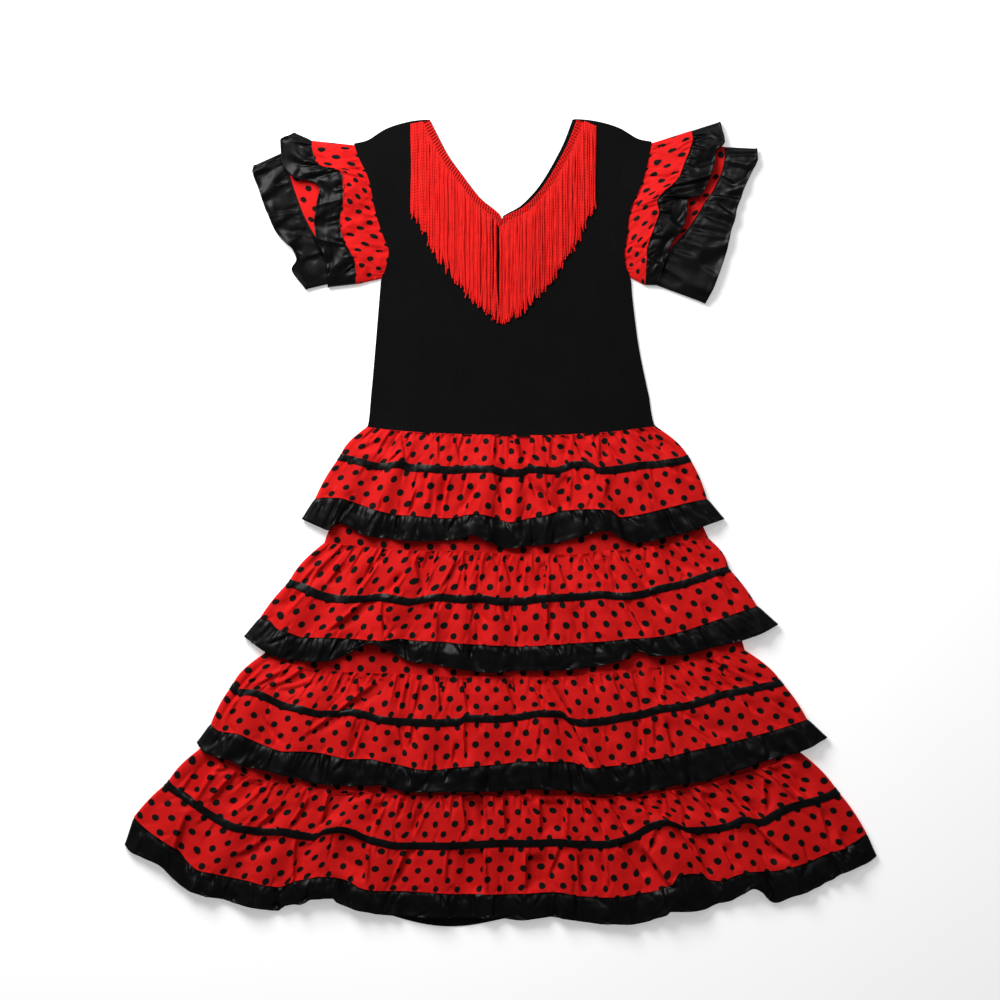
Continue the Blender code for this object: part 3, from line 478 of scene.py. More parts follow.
# Sleeve pieces: cloth, the rows they run between and the span of that way, height of the back, what is cut off
# each end, heights of the ends and of the middle, height of the waves, and fullness
SLEEVE_PIECES = {
    "upper": {
        "cloth": "dotted", "rows": ("armhole", "gather"), "span": (-0.03, 1.0), "back": FLOOR_LAYER,
        "trim": 0.0, "ends": (SIDE_SEAM, 7.0), "middle": (ARMHOLE - 0.9, 12.0), "wave": (0.0, 2.6),
        "full": 1.45,
    },
    "frill": {
        "cloth": "satin", "rows": ("gather", "frill"), "span": (-0.03, 1.0), "back": FLOOR_LAYER, "trim": 0.0,
        "ends": (7.0, 7.5), "middle": (12.0, 9.5), "wave": (2.6, 4.2), "full": 1.4,
    },
    "lower": {
        "cloth": "dotted", "rows": ("armhole", "lower"), "span": (0.12, 1.0), "back": LOWER_BACK,
        "trim": LOWER_TRIM, "ends": (LOWER_FRONT, LOWER_FRONT), "middle": (LOWER_FRONT, LOWER_FRONT),
        "wave": (0.0, 0.0), "full": 1.05,
    },
    "cuff": {
        "cloth": "satin", "rows": ("lower", "cuff"), "span": (-0.04, 1.0), "back": LOWER_BACK, "trim": 0.0,
        "ends": (LOWER_FRONT - 0.7, 6.0), "middle": (LOWER_FRONT - 0.7, 8.0), "wave": (0.0, 3.6), "full": 1.3,
    },
}
SLEEVE_GATHERS = {
    "upper": (
        (6.0, 0.0, 0.7, 0.8, 2.0, 1.1, 0.03),
        (5.5, 1.0, -0.6, 1.0, 2.0, 1.1, 0.04),
        (17.0, -0.1, 1.4, 1.3, 3.0, 1.6, 0.07),
    ),
    "frill": (
        (5.5, 0.0, 0.5, 0.9, 0.0, 0.9, 0.02),
        (19.0, 0.0, 1.6, 2.2, 0.0, 1.5, 0.06),
        (26.0, 1.0, -0.9, 1.6, 0.0, 2.0, 0.05),
    ),
    "lower": (),
    "cuff": (
        (8.0, 0.0, 0.5, 0.5, 0.0, 0.9, 0.02),
        (24.0, 0.1, 1.6, 1.7, 0.0, 1.6, 0.05),
        (30.0, 1.0, -0.8, 1.6, 0.0, 2.2, 0.05),
    ),
}

# Fringe: braid on the neck edge, the strands that hang from it, and the slits between groups of them
BRAID_WIDTH = 7.6
BRAID_THICK = 1.1
BRAID_MITRE_DROP = 9.5
BRAID_PITCH = 2.9
BRAID_POINTS = 420
BRAID_ACROSS = (0.0, 0.05, 0.12, 0.25, 0.5, 0.75, 0.88, 0.95, 1.0)
CORD_PLACES = (0.05, 0.95)
CORD_WIDTH = 0.06
CORD_RISE = 0.8
INSET_PLACES = (0.0, 0.75, 1.0)
MITRE_GAP = 0.15
NECK_POINTS = 400
STRANDS = 92
STRAND_RADIUS = 0.95
STRAND_SIDES = 6
STRAND_SEGMENTS = 19
STRAND_TUCK = 1.5
STRAND_RAGGED = 2.2
STRAND_LAYERS = (0.0, 0.7, 1.4)
STRAND_RISE = 0.9
STRAND_BEND = 0.35
STRAND_CURL = 1.1
STRAND_SWAY = 0.15
STRAND_FLAT = 0.75
STRAND_TIP = 0.7
STRAND_UV_SHIFT = 1000.0
FRINGE_Z = CHEST + JERSEY_THICK / 2 + 0.25
FRINGE_SLITS = ((-19.6, -17.4), (-8.2, -4.9), (-4.3, 0.6))
FRINGE_LEFT = {
    "sign": -1,
    "insets": (0.5, 0.5, 0.5),
    "shoulder": (-88.5, 398.0),
    "ends": ((-88.5, 312), (-74, 287), (-59, 262), (-43, 241), (-27, 223), (-13, 213), (-1.2, 199)),
}
FRINGE_RIGHT = {
    "sign": 1,
    "insets": (2.8, 2.4, 0.5),
    "shoulder": (95.5, 396.0),
    "ends": ((-1.0, 198), (19, 209), (33, 223), (48, 238), (64, 262), (79, 285), (88, 307), (95.5, 317)),
}

# Colours as linear red, green, blue
RED = (0.620, 0.0090, 0.0085)
RED_DEEP = (0.530, 0.0060, 0.0058)
DOT_BLACK = (0.0050, 0.0042, 0.0034)
SATIN_BLACK = (0.0026, 0.0024, 0.0025)
JERSEY_BLACK = (0.0020, 0.0020, 0.0020)
FRINGE_RED = (0.660, 0.0078, 0.0052)
# Deep red painted as shade in the gaps between the braid's rungs, also laid along its outer edge
BRAID_GAP_SHADE_RED = (0.240, 0.0030, 0.0025)
FLOOR_WHITE = (0.90, 0.90, 0.90)

# Camera above the dress, and lights: place, target, size and power
CAMERA_HEIGHT = 2.6
FRAME_SIDE = 1.0
PHOTO_MIDDLE = (-0.0005, 0.0238)
LIGHTS = {
    "key": ((-0.60, 0.96, 0.84), (0.0, 0.05, 0.0), 0.8, 28.5),
    "fill": ((0.4, 1.1, 1.9), (0.0, 0.1, 0.0), 1.0, 6.5),
}
WORLD_STRENGTH = 0.15
FLOOR_GLOW = 0.42
FLOOR_HALF_SIDE = 8.0

# First seed of each job's random numbers
SEEDS = {
    "fringe": 30, "bodice": 40, "gathers": 100, "ruffle": 200, "ruffle_wave": 210, "noise": 300, "base": 400,
    "back": 500, "ruffle_back": 600, "ribbon": 700, "sleeve_left": 800, "sleeve_right": 810,
}


def seeded(job, number=0):
    """Random numbers for one piece of a job, the same at every run."""
    return np.random.RandomState(SEEDS[job] + number)


def smooth_step(low, high, value):
    """0 up to low, 1 from high on, and a soft rise between them."""
    f = np.clip((value - low) / (high - low), 0.0, 1.0)
    return f * f * (3.0 - 2.0 * f)


def side_fade(reach, t):
    """0 at both sides of a cloth and 1 from a reach inside them."""
    return smooth_step(0.0, reach, t) * smooth_step(0.0, reach, 1 - t)


def between(pair, f):
    """The value at fraction f of the way from a pair's first to its second."""
    return pair[0] + (pair[1] - pair[0]) * f


def curve(xs, ys, at):
    """Values at any place on a curve through given points that never overshoots them."""
    xs = np.asarray(xs, float)
    ys = np.asarray(ys, float)
    step = np.diff(xs)
    slope = np.diff(ys) / step
    tangent = np.zeros_like(ys)
    tangent[0] = slope[0]
    tangent[-1] = slope[-1]
    agree = slope[:-1] * slope[1:] > 0
    total = np.where(agree, slope[:-1] + slope[1:], 1.0)
    tangent[1:-1] = np.where(agree, 2 * slope[:-1] * slope[1:] / total, 0.0)
    i = np.clip(np.searchsorted(xs, at) - 1, 0, len(step) - 1)
    f = np.clip((at - xs[i]) / step[i], 0.0, 1.0)
    start = ys[i] * (1 + 2 * f) * (1 - f) ** 2 + tangent[i] * step[i] * f * (1 - f) ** 2
    end = ys[i + 1] * f * f * (3 - 2 * f) - tangent[i + 1] * step[i] * f * f * (1 - f)
    return start + end


def row_curve(row, t, margin):
    """Points of a skirt row at fractions t across it, ending a margin inside its ends."""
    xs, ys = zip(*row)
    x = between((xs[0] + margin, xs[-1] - margin), t)
    return x, curve(xs, ys, x)


def row_width(row):
    """Distance in x from a skirt row's first point to its last."""
    return row[-1][0] - row[0][0]


def path_lengths(path):
    """Distance of each point of a path from its first."""
    return np.concatenate([[0.0], np.cumsum(np.linalg.norm(np.diff(path, axis=0), axis=1))])


def even_path(path, points):
    """A path's points spaced evenly."""
    lengths = path_lengths(path)
    at = np.linspace(0, lengths[-1], points)
    return np.stack([np.interp(at, lengths, path[:, 0]), np.interp(at, lengths, path[:, 1])], axis=1)


def grid_places(columns, down):
    """Fraction across a cloth and place down it, at each point of a grid."""
    return np.broadcast_arrays(np.linspace(0.0, 1.0, columns + 1)[None, :], down[:, None])


def back_places(columns, down):
    """The same for the back of a tube, whose columns run from the right to the left."""
    return np.broadcast_arrays(np.linspace(1.0, 0.0, columns)[None, :], down[:, None])


def hemmed_rows(rows, last):
    """Rows evenly down a satin piece, with the last one at its rolled hem."""
    return np.append(np.linspace(0.0, last, rows - 1), 1.0)


def hemmed_thickness(rows):
    """Thickness at each row of a satin piece, fuller at its rolled hem."""
    thickness = np.full(rows, SATIN_THICK)
    thickness[-3:] = (0.8, ROLLED_HEM, 1.0)
    return thickness


def point_normals(points, quads):
    """The way that a sheet faces at each of its points."""
    a, b, c, d = (points[quads[:, k]] for k in range(4))
    face_normal = np.cross(c - a, d - b)
    normal = np.zeros_like(points)
    for k in range(4):
        np.add.at(normal, quads[:, k], face_normal)
    return normal / np.maximum(np.linalg.norm(normal, axis=1), 1e-9)[:, None]


def close_sheet(quads, corner_uv, count):
    """Faces and cloth places of a sheet's front, its under side and the rim between them.

    The under side's points follow the front's, count of them.
    """
    vertex_uv = np.zeros((count, 2))
    for k in range(4):
        vertex_uv[quads[:, k]] = corner_uv[:, k]
    edges = np.concatenate([quads[:, [k, (k + 1) % 4]] for k in range(4)])
    found = np.unique(np.sort(edges, axis=1), axis=0, return_index=True, return_counts=True)
    first, uses = found[1:]
    start, end = edges[first[uses == 1]].T
    rim = np.column_stack((end, start, start + count, end + count))
    faces = np.concatenate([quads, quads[:, ::-1] + count, rim])
    return faces, np.concatenate([corner_uv, corner_uv[:, ::-1], vertex_uv[rim % count]])


def add_shell(name, points, quads, corner_uv, thickness, material):
    """A mesh with a front and an under side from a sheet of quads, in millimetres."""
    offset = point_normals(points, quads) * np.broadcast_to(thickness, len(points))[:, None] / 2
    faces, uv = close_sheet(quads, corner_uv, len(points))
    return add_mesh(name, np.concatenate([points + offset, points - offset]), faces, uv, material)


def add_mesh(name, places, faces, uv, material):
    """A piece in metres round the frame's origin, from places in millimetres."""
    places = (places - (CENTRE_X, CENTRE_Y, 0.0)) * MM
    mesh = bpy.data.meshes.new(name)
    mesh.from_pydata(places.tolist(), [], faces.tolist())
    layer = mesh.uv_layers.new(name="cloth")
    layer.data.foreach_set("uv", (uv * MM).reshape(-1).astype(np.float32))
    mesh.materials.append(material)
    mesh.shade_smooth()
    mesh.set_sharp_from_angle(angle=math.radians(70))
    piece = bpy.data.objects.new(name, mesh)
    bpy.context.scene.collection.objects.link(piece)
    return piece


def grid_quads(rows, columns, wraps):
    """Quads of a grid of points, and each corner's row and column. A tube's last column meets its first."""
    r, c = np.meshgrid(np.arange(rows - 1), np.arange(columns if wraps else columns - 1), indexing="ij")
    corners = [(r, c), (r + 1, c), (r + 1, c + 1), (r, c + 1)]
    quads = np.stack([row * columns + column % columns for row, column in corners], axis=-1).reshape(-1, 4)
    row_of = np.stack([row for row, column in corners], axis=-1).reshape(-1, 4)
    column_of = np.stack([column for row, column in corners], axis=-1).reshape(-1, 4)
    return quads, row_of, column_of


def add_tube(name, grid, uv, thickness, material, flip=False):
    """A shell from a pressed tube's grid of points. uv has one more column than the grid."""
    rows, columns = grid.shape[:2]
    quads, row_of, column_of = grid_quads(rows, columns, True)
    corner_uv = uv[row_of, column_of]
    if flip:
        quads = quads[:, ::-1]
        corner_uv = corner_uv[:, ::-1]
    if np.ndim(thickness) == 1:
        thickness = np.repeat(thickness, columns)
    return add_shell(name, grid.reshape(-1, 3), quads, corner_uv, thickness, material)


def ring_columns(front, back):
    """A pressed tube's columns: its front, its far side's fold, its back and its near side's fold."""
    angles = np.radians(np.arange(1, FOLD_STEPS) * 180.0 / FOLD_STEPS)

    def fold(end, before, back_z, turn):
        step = end - before
        step[:, 2] = 0.0
        step /= np.linalg.norm(step, axis=1)[:, None]
        radius = (end[:, 2] - back_z) / 2
        columns = []
        for angle in turn:
            point = end + step * (math.sin(angle) * radius)[:, None]
            point[:, 2] = back_z + radius + math.cos(angle) * radius
            columns.append(point)
        return np.stack(columns, axis=1)

    far = fold(front[:, -1].copy(), front[:, -2], back[:, 0, 2], angles)
    near = fold(front[:, 0].copy(), front[:, 1], back[:, -1, 2], angles[::-1])
    return np.concatenate([front, far, back, near], axis=1)


def closed_columns(tube):
    """A tube's columns with the first one again at the end."""
    return np.concatenate([tube, tube[:, :1]], axis=1)


def distance_along(points):
    """Distance along each row of a grid, from its first column."""
    steps = np.linalg.norm(np.diff(points, axis=1), axis=2)
    return np.concatenate([np.zeros((len(points), 1)), np.cumsum(steps, axis=1)], axis=1)


def crease(t0, v0, t1, v1, depth, sharp, soft, tuck, closed_start=True, full=0.45):
    """A trough from one place on a cloth to another.

    Its steep side is sharp wide and its other side is soft wide. A positive sharp turns the steep side to
    smaller t. tuck is how much cloth the trough takes up, and full is the share of its length after which the
    trough fades.
    """
    return {"t0": t0, "v0": v0, "t1": t1, "v1": v1, "depth": depth, "sharp": sharp, "soft": soft,
            "tuck": tuck, "closed_start": closed_start, "full": full}


def press_creases(t, v, width, creases):
    """Height change and cloth taken up at each point of a grid, from a list of creases."""
    height = np.zeros_like(v)
    taken = np.zeros_like(v)
    for c in creases:
        f = (v - c["v0"]) / (c["v1"] - c["v0"])
        middle = c["t0"] + (c["t1"] - c["t0"]) * f
        starts = smooth_step(-0.02, 0.09, f) if c["closed_start"] else smooth_step(-0.05, 0.3, f)
        strength = starts * (1.0 - smooth_step(c["full"], 1.0, f))
        side = 1.0 if c["sharp"] > 0 else -1.0
        across = (t - middle) * width * side
        sharp = abs(c["sharp"])
        reach = np.where(across < 0, sharp, c["soft"])
        trough = np.exp(-(across / reach) ** 2)
        ridge = np.exp(-((across + RIDGE_PLACE * sharp) / (RIDGE_WIDTH * sharp)) ** 2)
        height += strength * c["depth"] * (RIDGE_RISE * ridge - trough)
        past = 0.5 * (1.0 + np.tanh((t - middle) * width / (TAKING_WIDTH * sharp)))
        taken += strength * c["tuck"] * past
    return height, taken


def gathers(random, width, spacing, v_start, v_reach, depth, tuck, sharp, drift):
    """Creases that start at a gathered seam, uneven in spacing, length and depth."""
    found = []
    at = random.uniform(0.2, 0.8) * spacing
    while at < width:
        t = at / width
        reach = v_reach * random.choice(GATHER_REACHES, p=GATHER_CHANCES)
        side = random.choice([-1.0, 1.0])
        strong = random.uniform(0.5, 1.2)
        found.append(crease(
            t, v_start, t + random.normal(0.0, drift), v_start + reach, depth * strong,
            side * sharp * random.uniform(0.8, 1.4), sharp * random.uniform(2.0, 4.0), tuck * strong))
        at += spacing * random.uniform(0.55, 1.5)
    return found


def gather_sets(random, width, sets):
    """The gathers of several sets, one after the other."""
    return [found for facts in sets for found in gathers(random, width, *facts)]


def soft_noise(t, v, random, scale_t, scale_v, octaves=3):
    """Smooth seeded unevenness from a few sine waves that cross at odd angles."""
    total = np.zeros_like(v)
    for k in range(octaves):
        strength = 0.6 ** k
        for angle in random.uniform(0, math.tau, 3):
            turn_t = math.cos(angle) * scale_t * 1.7 ** k
            turn_v = math.sin(angle) * scale_v * 1.7 ** k
            total += strength * np.sin(math.tau * (t * turn_t + v * turn_v) + random.uniform(0, math.tau))
    return total / 3.0


def crests(t, tier, number):
    """The tier's large gathers, from 0 in a hollow to 1 on a crest, and its largest folds."""
    waves = tier["waves"]
    drift = WAVE_DRIFT / waves * np.sin(math.tau * (2.3 * t + 0.31 * number)) * np.sin(math.pi * t)
    uneven = 1 - WAVE_UNEVEN * (0.5 + 0.5 * np.sin(math.tau * (3.1 * t + 0.17 * number)))
    crest = (0.5 - 0.5 * np.cos(math.tau * waves * (t - drift))) * uneven
    x = tier["gather"][0][0] + row_width(tier["gather"]) * t
    rise = sum(r * np.exp(-((x - middle) / half) ** 2) for middle, half, r in tier["folds"])
    return crest, rise


def by_row(values, v):
    """Values of the skirt rows at any v: 0 is the seam, 1 the ribbon, 2 the gathered hem and 3 the edge."""
    return np.interp(v, range(len(ROWS)), values)


def tier_height(tier, number, t, v):
    """Level of a tier's hollows, and how far its large gathers and folds rise above it."""
    heights = LAST_TIER_HEIGHTS if number == len(TIERS) else ROW_HEIGHTS
    levels, waves = zip(*(heights[row] for row in ROWS))
    crest, rise = crests(t, tier, number)
    return by_row(levels, v), by_row(waves, v) * crest + by_row([FOLD_SHARE[row] for row in ROWS], v) * rise


def deepest(number):
    """How far a trough may go below its tier's level."""
    return LAST_TIER_DEEPEST if number == len(TIERS) else DEEPEST


def tier_rows(tier, names, t):
    """Points of a tier's rows, ending inside them by the room that the tube's round side takes."""
    margin = (FLOUNCE_FRONT - FLOOR_LAYER) / 2 + SIDE_ROOM
    return [row_curve(tier[name], t, margin) for name in names]


def flounce_places(tier, t, v):
    """x and y of a flounce's front at fraction t across it and place v down it."""
    seam, ribbon, gather = tier_rows(tier, ("seam", "ribbon", "gather"), t)
    upper = np.clip(v, 0, 1)
    lower = np.clip(v - 1, 0, 1)
    x, y = (a + (b - a) * upper + (c - b) * lower for a, b, c in zip(seam, ribbon, gather))
    bulge = SIDE_BULGE[0] * np.sin(math.pi * upper) + SIDE_BULGE[1] * np.sin(math.pi * lower)
    return x + bulge * (2 * t - 1) ** 15, y


def ruffle_places(tier, t, w):
    """x and y of a ruffle at fraction t across it and w from its seam to its edge."""
    (top_x, top_y), (low_x, low_y) = tier_rows(tier, ("gather", "hem"), t)
    return between((top_x, low_x), w), between((top_y + SEAM_TUCK, low_y), w)


def cloth_across(t, taken, cloth_width, width):
    """How far across its own cloth each point lies. Cloth that a crease takes up is found close to it."""
    taken = taken - taken[:, :1]
    spare = np.maximum(cloth_width - width, 0.0)
    taken = taken * np.minimum(spare / np.maximum(taken[:, -1:], 1e-6), TUCK_LIMIT)
    reach = max(int(TUCK_REACH / cloth_width * t.shape[1]), 1)
    padded = np.pad(taken, ((0, 0), (reach, reach)), mode="edge")
    total = np.cumsum(np.pad(padded, ((0, 0), (1, 0))), axis=1)
    span = 2 * reach + 1
    trend = (total[:, span:] - total[:, :-span]) / span
    return cloth_width * t + (taken - trend) * side_fade(SIDE_FADE, t)


def tube_across(across, cloth_width, back):
    """Places round a pressed tube's cloth: its front's, then evenly over far fold, back and near fold.

    The whole way round is a whole number of dots, so that they meet where the tube closes.
    """
    dots = round((2 * cloth_width + 2 * FOLD_CLOTH) / DOT_PITCH_ACROSS)
    back_width = dots * DOT_PITCH_ACROSS - cloth_width - 2 * FOLD_CLOTH
    steps = np.arange(1, FOLD_STEPS + 1) / FOLD_STEPS
    far = cloth_width + FOLD_CLOTH * steps[:-1]
    behind = cloth_width + FOLD_CLOTH + back_width * np.linspace(0.0, 1.0, back)
    near = behind[-1] + FOLD_CLOTH * steps
    beyond = np.concatenate([far, behind, near])[None, :]
    return np.concatenate([across, np.repeat(beyond, len(across), axis=0)], axis=1)


def back_columns(tier, v_rows, places, random):
    """The back of a tier, flat but for shallow creases that lift it, from the right edge to the left."""
    width = row_width(tier["hem"])
    t, v = back_places(int(width / BACK_STEP) + 1, v_rows)
    x, y = places(t, v)
    lift = np.zeros_like(x)
    for middle in random.uniform(0.05, 0.95, tier["waves"]):
        lean = random.normal(0, 0.02)
        across = (t - middle - lean * (v - 1)) * width
        lift += random.uniform(0.3, 0.9) * np.exp(-(across / BACK_CREASE_WIDTH) ** 2)
    inside = np.sin(math.pi * t) ** BACK_SIDES
    ribbon = np.exp(-((v - 1.0) / BACK_RIBBON_REACH) ** 2)
    z = between((FLOOR_LAYER, BACK_UNDER_RIBBON), ribbon) + lift * inside
    return np.stack([x, y, z], axis=2)


def main_creases(number, tier):
    """The tier's listed creases, moved from x and y to places t and v on its cloth."""
    t, v = np.meshgrid(np.linspace(0, 1, 241), np.linspace(0, 2.9, 59), indexing="ij")
    upper = flounce_places(tier, t, np.minimum(v, 2.0))
    lower = ruffle_places(tier, t, np.maximum(v - 2.0, 0.0))
    x, y = (np.where(v > 2.0, low, high) for low, high in zip(lower, upper))
    strength = LAST_TIER_CREASE_DEPTH if number == len(TIERS) else CREASE_DEPTH
    found = []
    for x0, y0, x1, y1, depth, sharp, soft in MAIN_CREASES[number]:
        start = np.argmin((x - x0) ** 2 + (y - y0) ** 2)
        end = np.argmin((x - x1) ** 2 + (y - y1) ** 2)
        v0 = v.flat[start]
        at_seam = min(abs(v0), abs(v0 - 1), abs(v0 - 2)) < SEAM_NEAR
        slant = min(math.hypot(x1 - x0, y1 - y0) / abs(y1 - y0), SLANT_LIMIT)
        found.append(crease(
            t.flat[start], v0, t.flat[end], v.flat[end] + 1e-3, strength * depth, slant * sharp, slant * soft,
            TUCK_SHARE * depth, at_seam, CREASE_FULL))
    return found


def flounce_gathers(tier, random):
    """Fine gathers from the waist seam, from both sides of the ribbon and from the hem."""
    seam = row_width(tier["seam"])
    hem = row_width(tier["gather"])
    widths = {"seam": seam, "middle": (seam + hem) / 2, "hem": hem}
    return [found for row, *facts in FLOUNCE_GATHERS for found in gathers(random, widths[row], *facts)]


def flounce_noise(number, t, v):
    """Unevenness that a flounce shares with its ribbon and its ruffle."""
    return soft_noise(t, v, seeded("noise", number), row_width(TIERS[number - 1]["hem"]) / 60.0, 1.2)


def flounce_front(tier, number, t, v, creases):
    """Points of a flounce's front, and the cloth that its creases take up."""
    x, y = flounce_places(tier, t, v)
    pressed, taken = press_creases(t, v, x[:, -1:] - x[:, :1], creases)
    held = 1.0 - RIBBON_HOLD * np.exp(-((v - 1.0) / RIBBON_HOLD_REACH) ** 2)
    level, raised = tier_height(tier, number, t, v)
    raised = raised + held * pressed + NOISE_RISE * flounce_noise(number, t, v)
    z = level + side_fade(FLOUNCE_SIDES, t) * raised
    z = np.maximum(z, level - deepest(number) * smooth_step(0.0, 0.12, v))
    return np.stack([x, y, z], axis=2), taken


def flounce_tube(tier, number, v_rows, creases):
    """A flounce's whole tube of points and its place on the cloth, at the given rows."""
    t, v = grid_places(int(row_width(tier["gather"]) / FRONT_STEP), v_rows)
    front, taken = flounce_front(tier, number, t, v, creases)
    back = back_columns(tier, v_rows, lambda tt, vv: flounce_places(tier, tt, vv), seeded("back", number))
    tube = ring_columns(front, back)
    cloth_width, to_ribbon, to_hem = tier["cloth"]
    across = cloth_across(t, taken, cloth_width, front[:, -1:, 0] - front[:, :1, 0])
    u = tube_across(across, cloth_width, back.shape[1])
    down = np.interp(v[:, :1], (0, 1, 2), (0, to_ribbon, to_hem)) + CLOTH_START * number
    drift = CLOTH_DRIFT * np.sin(math.tau * (2.0 * u / u[:, -1:] + 0.37 * number))
    uv = np.stack([u, -down - drift], axis=2)
    return tube, uv


def ribbon_rows(tier):
    """Places down the cloth of the ribbon's own rows."""
    to_ribbon, to_hem = tier["cloth"][1:]
    offsets = np.array(RIBBON_ROWS) * RIBBON_WIDTH / 2
    return np.where(offsets < 0, 1 + offsets / to_ribbon, 1 + offsets / (to_hem - to_ribbon))


def make_flounce(number, tier, creases, materials):
    """A dotted flounce all round with its ribbon, which shares its rows there."""
    v_rows = np.linspace(0.0, 2.0, int(tier["cloth"][2] / FLOUNCE_ROW_STEP) + 1)
    sewn = ribbon_rows(tier)
    outside = (v_rows < sewn[0] - 0.02) | (v_rows > sewn[-1] + 0.02)
    v_rows = np.sort(np.concatenate([v_rows[outside], sewn]))
    tube, uv = flounce_tube(tier, number, v_rows, creases)
    name = f"tier_{number}_flounce"
    ribbon = make_ribbon(number, tier, creases, materials["satin"])
    flounce = add_tube(name + "_cloth", tube, uv, DOTTED_THICK, materials["dotted"])
    dress(flounce, name)


def make_ribbon(number, tier, creases, material):
    """A satin ribbon sewn round the flounce, puckered with it."""
    tube, uv = flounce_tube(tier, number, ribbon_rows(tier), creases)
    rows, columns = tube.shape[:2]
    quads = grid_quads(rows, columns, True)[0]
    normal = point_normals(tube.reshape(-1, 3), quads).reshape(tube.shape)
    along, crown = np.broadcast_arrays(np.linspace(0, 1, columns)[None, :], np.array(RIBBON_CROWN)[:, None])
    wobble = soft_noise(along, crown, seeded("ribbon", number), columns / 18.0, 1.0)
    in_front = normal[:, :, 2] > 0.2
    normal[:, :, 2] += RIBBON_LEAN * in_front
    normal /= np.linalg.norm(normal, axis=2)[:, :, None]
    lift = RIBBON_LIFT + in_front * crown * (0.6 + 0.7 * wobble)
    tube = tube + normal * np.maximum(lift, RIBBON_LIFT)[:, :, None]
    name = f"tier_{number}_ribbon"
    return trim(add_tube(name + "_trim", tube, uv, RIBBON_THICK, material), name)


def ruffle_height(tier, number, t, w, sewn_gathers, main):
    """Height of a ruffle's front: its own creases, those that run on from the flounce, and its wavy edge."""
    width = row_width(tier["hem"])
    v = 2 + w
    creases = gather_sets(seeded("ruffle", number), width, RUFFLE_GATHERS)
    pressed = press_creases(t, w, width, creases)[0] * smooth_step(0.0, 0.18, w)
    at_seam = press_creases(t, np.full_like(w, 2.0), width, sewn_gathers)[0]
    pressed += at_seam * (1 - smooth_step(0.0, 0.35, w))
    pressed += press_creases(t, v, width, main)[0]
    pressed += NOISE_RISE * flounce_noise(number, t, v)
    wave_place = t * 2 * tier["waves"] + 0.6 * soft_noise(t, w, seeded("ruffle_wave", number), 5.0, 0.25)
    wave = 0.5 - 0.5 * np.cos(math.tau * wave_place)
    roll = np.sin(math.pi * w) * RUFFLE_ROLL
    level, raised = tier_height(tier, number, t, v)
    raised = raised + pressed + RUFFLE_WAVE * wave * w ** RUFFLE_WAVE_GROWTH + roll
    z = np.maximum(level + side_fade(FLOUNCE_SIDES, t) * raised, level - deepest(number))
    return z - SEAM_DROP * (1.0 - smooth_step(0.03, 0.2, w))


def ruffle_back(tier, number, v_rows, thickness):
    """A ruffle's back, resting on the floor."""

    def places(t, v):
        x, y = ruffle_places(tier, t, v - 2)
        if number == len(TIERS):
            start, end = BACK_HEM_SPAN
            f = np.clip((x - start) / (end - start), 0, 1)
            y = y - BACK_HEM_DROP * np.sin(math.pi * f) * np.clip(v - 2, 0, 1)
        return x, y

    back = back_columns(tier, v_rows, places, seeded("ruffle_back", number))
    back[:, :, 2] = np.maximum(back[:, :, 2], thickness[:, None] / 2 + FLOOR_ROOM)
    return back


def make_ruffle(number, tier, sewn_gathers, main, material):
    """A satin ruffle all round the flounce's hem."""
    t, w = grid_places(int(row_width(tier["hem"]) / RUFFLE_STEP), hemmed_rows(RUFFLE_ROWS, RUFFLE_LAST_ROW))
    x, y = ruffle_places(tier, t, w)
    front = np.stack([x, y, ruffle_height(tier, number, t, w, sewn_gathers, main)], axis=2)
    thickness = hemmed_thickness(RUFFLE_ROWS)
    tube = ring_columns(front, ruffle_back(tier, number, 2 + w[:, 0], thickness))
    u = distance_along(closed_columns(tube))
    uv = np.stack([u, np.broadcast_to(-w[:, :1] * RUFFLE_LENGTH, u.shape)], axis=2)
    name = f"tier_{number}_ruffle"
    dress(add_tube(name + "_cloth", tube, uv, thickness, material), name)


def base_places(number, t, f):
    """x and y of a skirt panel at fraction t across it and f of the way down from its upper seam."""
    margin = (BASE_FRONT - BASE_BACK) / 2 + SIDE_ROOM
    top_x, top_y = row_curve(TIERS[number - 1]["seam"], t, margin)
    low_x, low_y = row_curve(TIERS[number]["seam"], t, margin)
    low_tuck = LAST_BASE_TUCK if number == len(TIERS) - 1 else BASE_TUCK
    return between((top_x, low_x), f), between((top_y - BASE_TUCK, low_y - low_tuck), f)


def make_base(number, material):
    """The plain skirt panel between two gathered seams, of which a strip shows."""
    bottom = TIERS[number]["seam"]
    random = seeded("base", number)
    t, f = grid_places(int(row_width(bottom) / BASE_STEP), np.linspace(0.0, 1.0, BASE_ROWS))
    x, y = base_places(number, t, f)
    width = x[-1, -1] - x[-1, 0]
    pressed = press_creases(t, f, width, gather_sets(random, width, BASE_GATHERS))[0]
    pressed = np.clip(pressed + BASE_NOISE * soft_noise(t, f, random, width / 50.0, 2.0), *BASE_RELIEF)
    z = BASE_FRONT - 0.5 * smooth_step(0.94, 0.97, f) + side_fade(BASE_SIDES, t) * pressed
    front = np.stack([x, y, z], axis=2)
    back_x, back_y = base_places(number, *back_places(BASE_BACK_COLUMNS, f[:, 0]))
    tube = ring_columns(front, np.stack([back_x, back_y, np.full_like(back_x, BASE_BACK)], axis=2))
    closed = closed_columns(tube)
    below = closed[:, :, 1] - curve(*zip(*bottom), closed[:, :, 0])
    front_count = front.shape[1]
    far_x = closed[:, front_count - 1:front_count, 0]
    u = np.concatenate([closed[:, :front_count, 0], 2 * far_x - closed[:, front_count:, 0]], axis=1)
    uv = np.stack([u, below - BASE_CLOTH_START], axis=2)
    dress(add_tube(f"base_{number}_cloth", tube, uv, DOTTED_THICK, material), f"base_{number}")


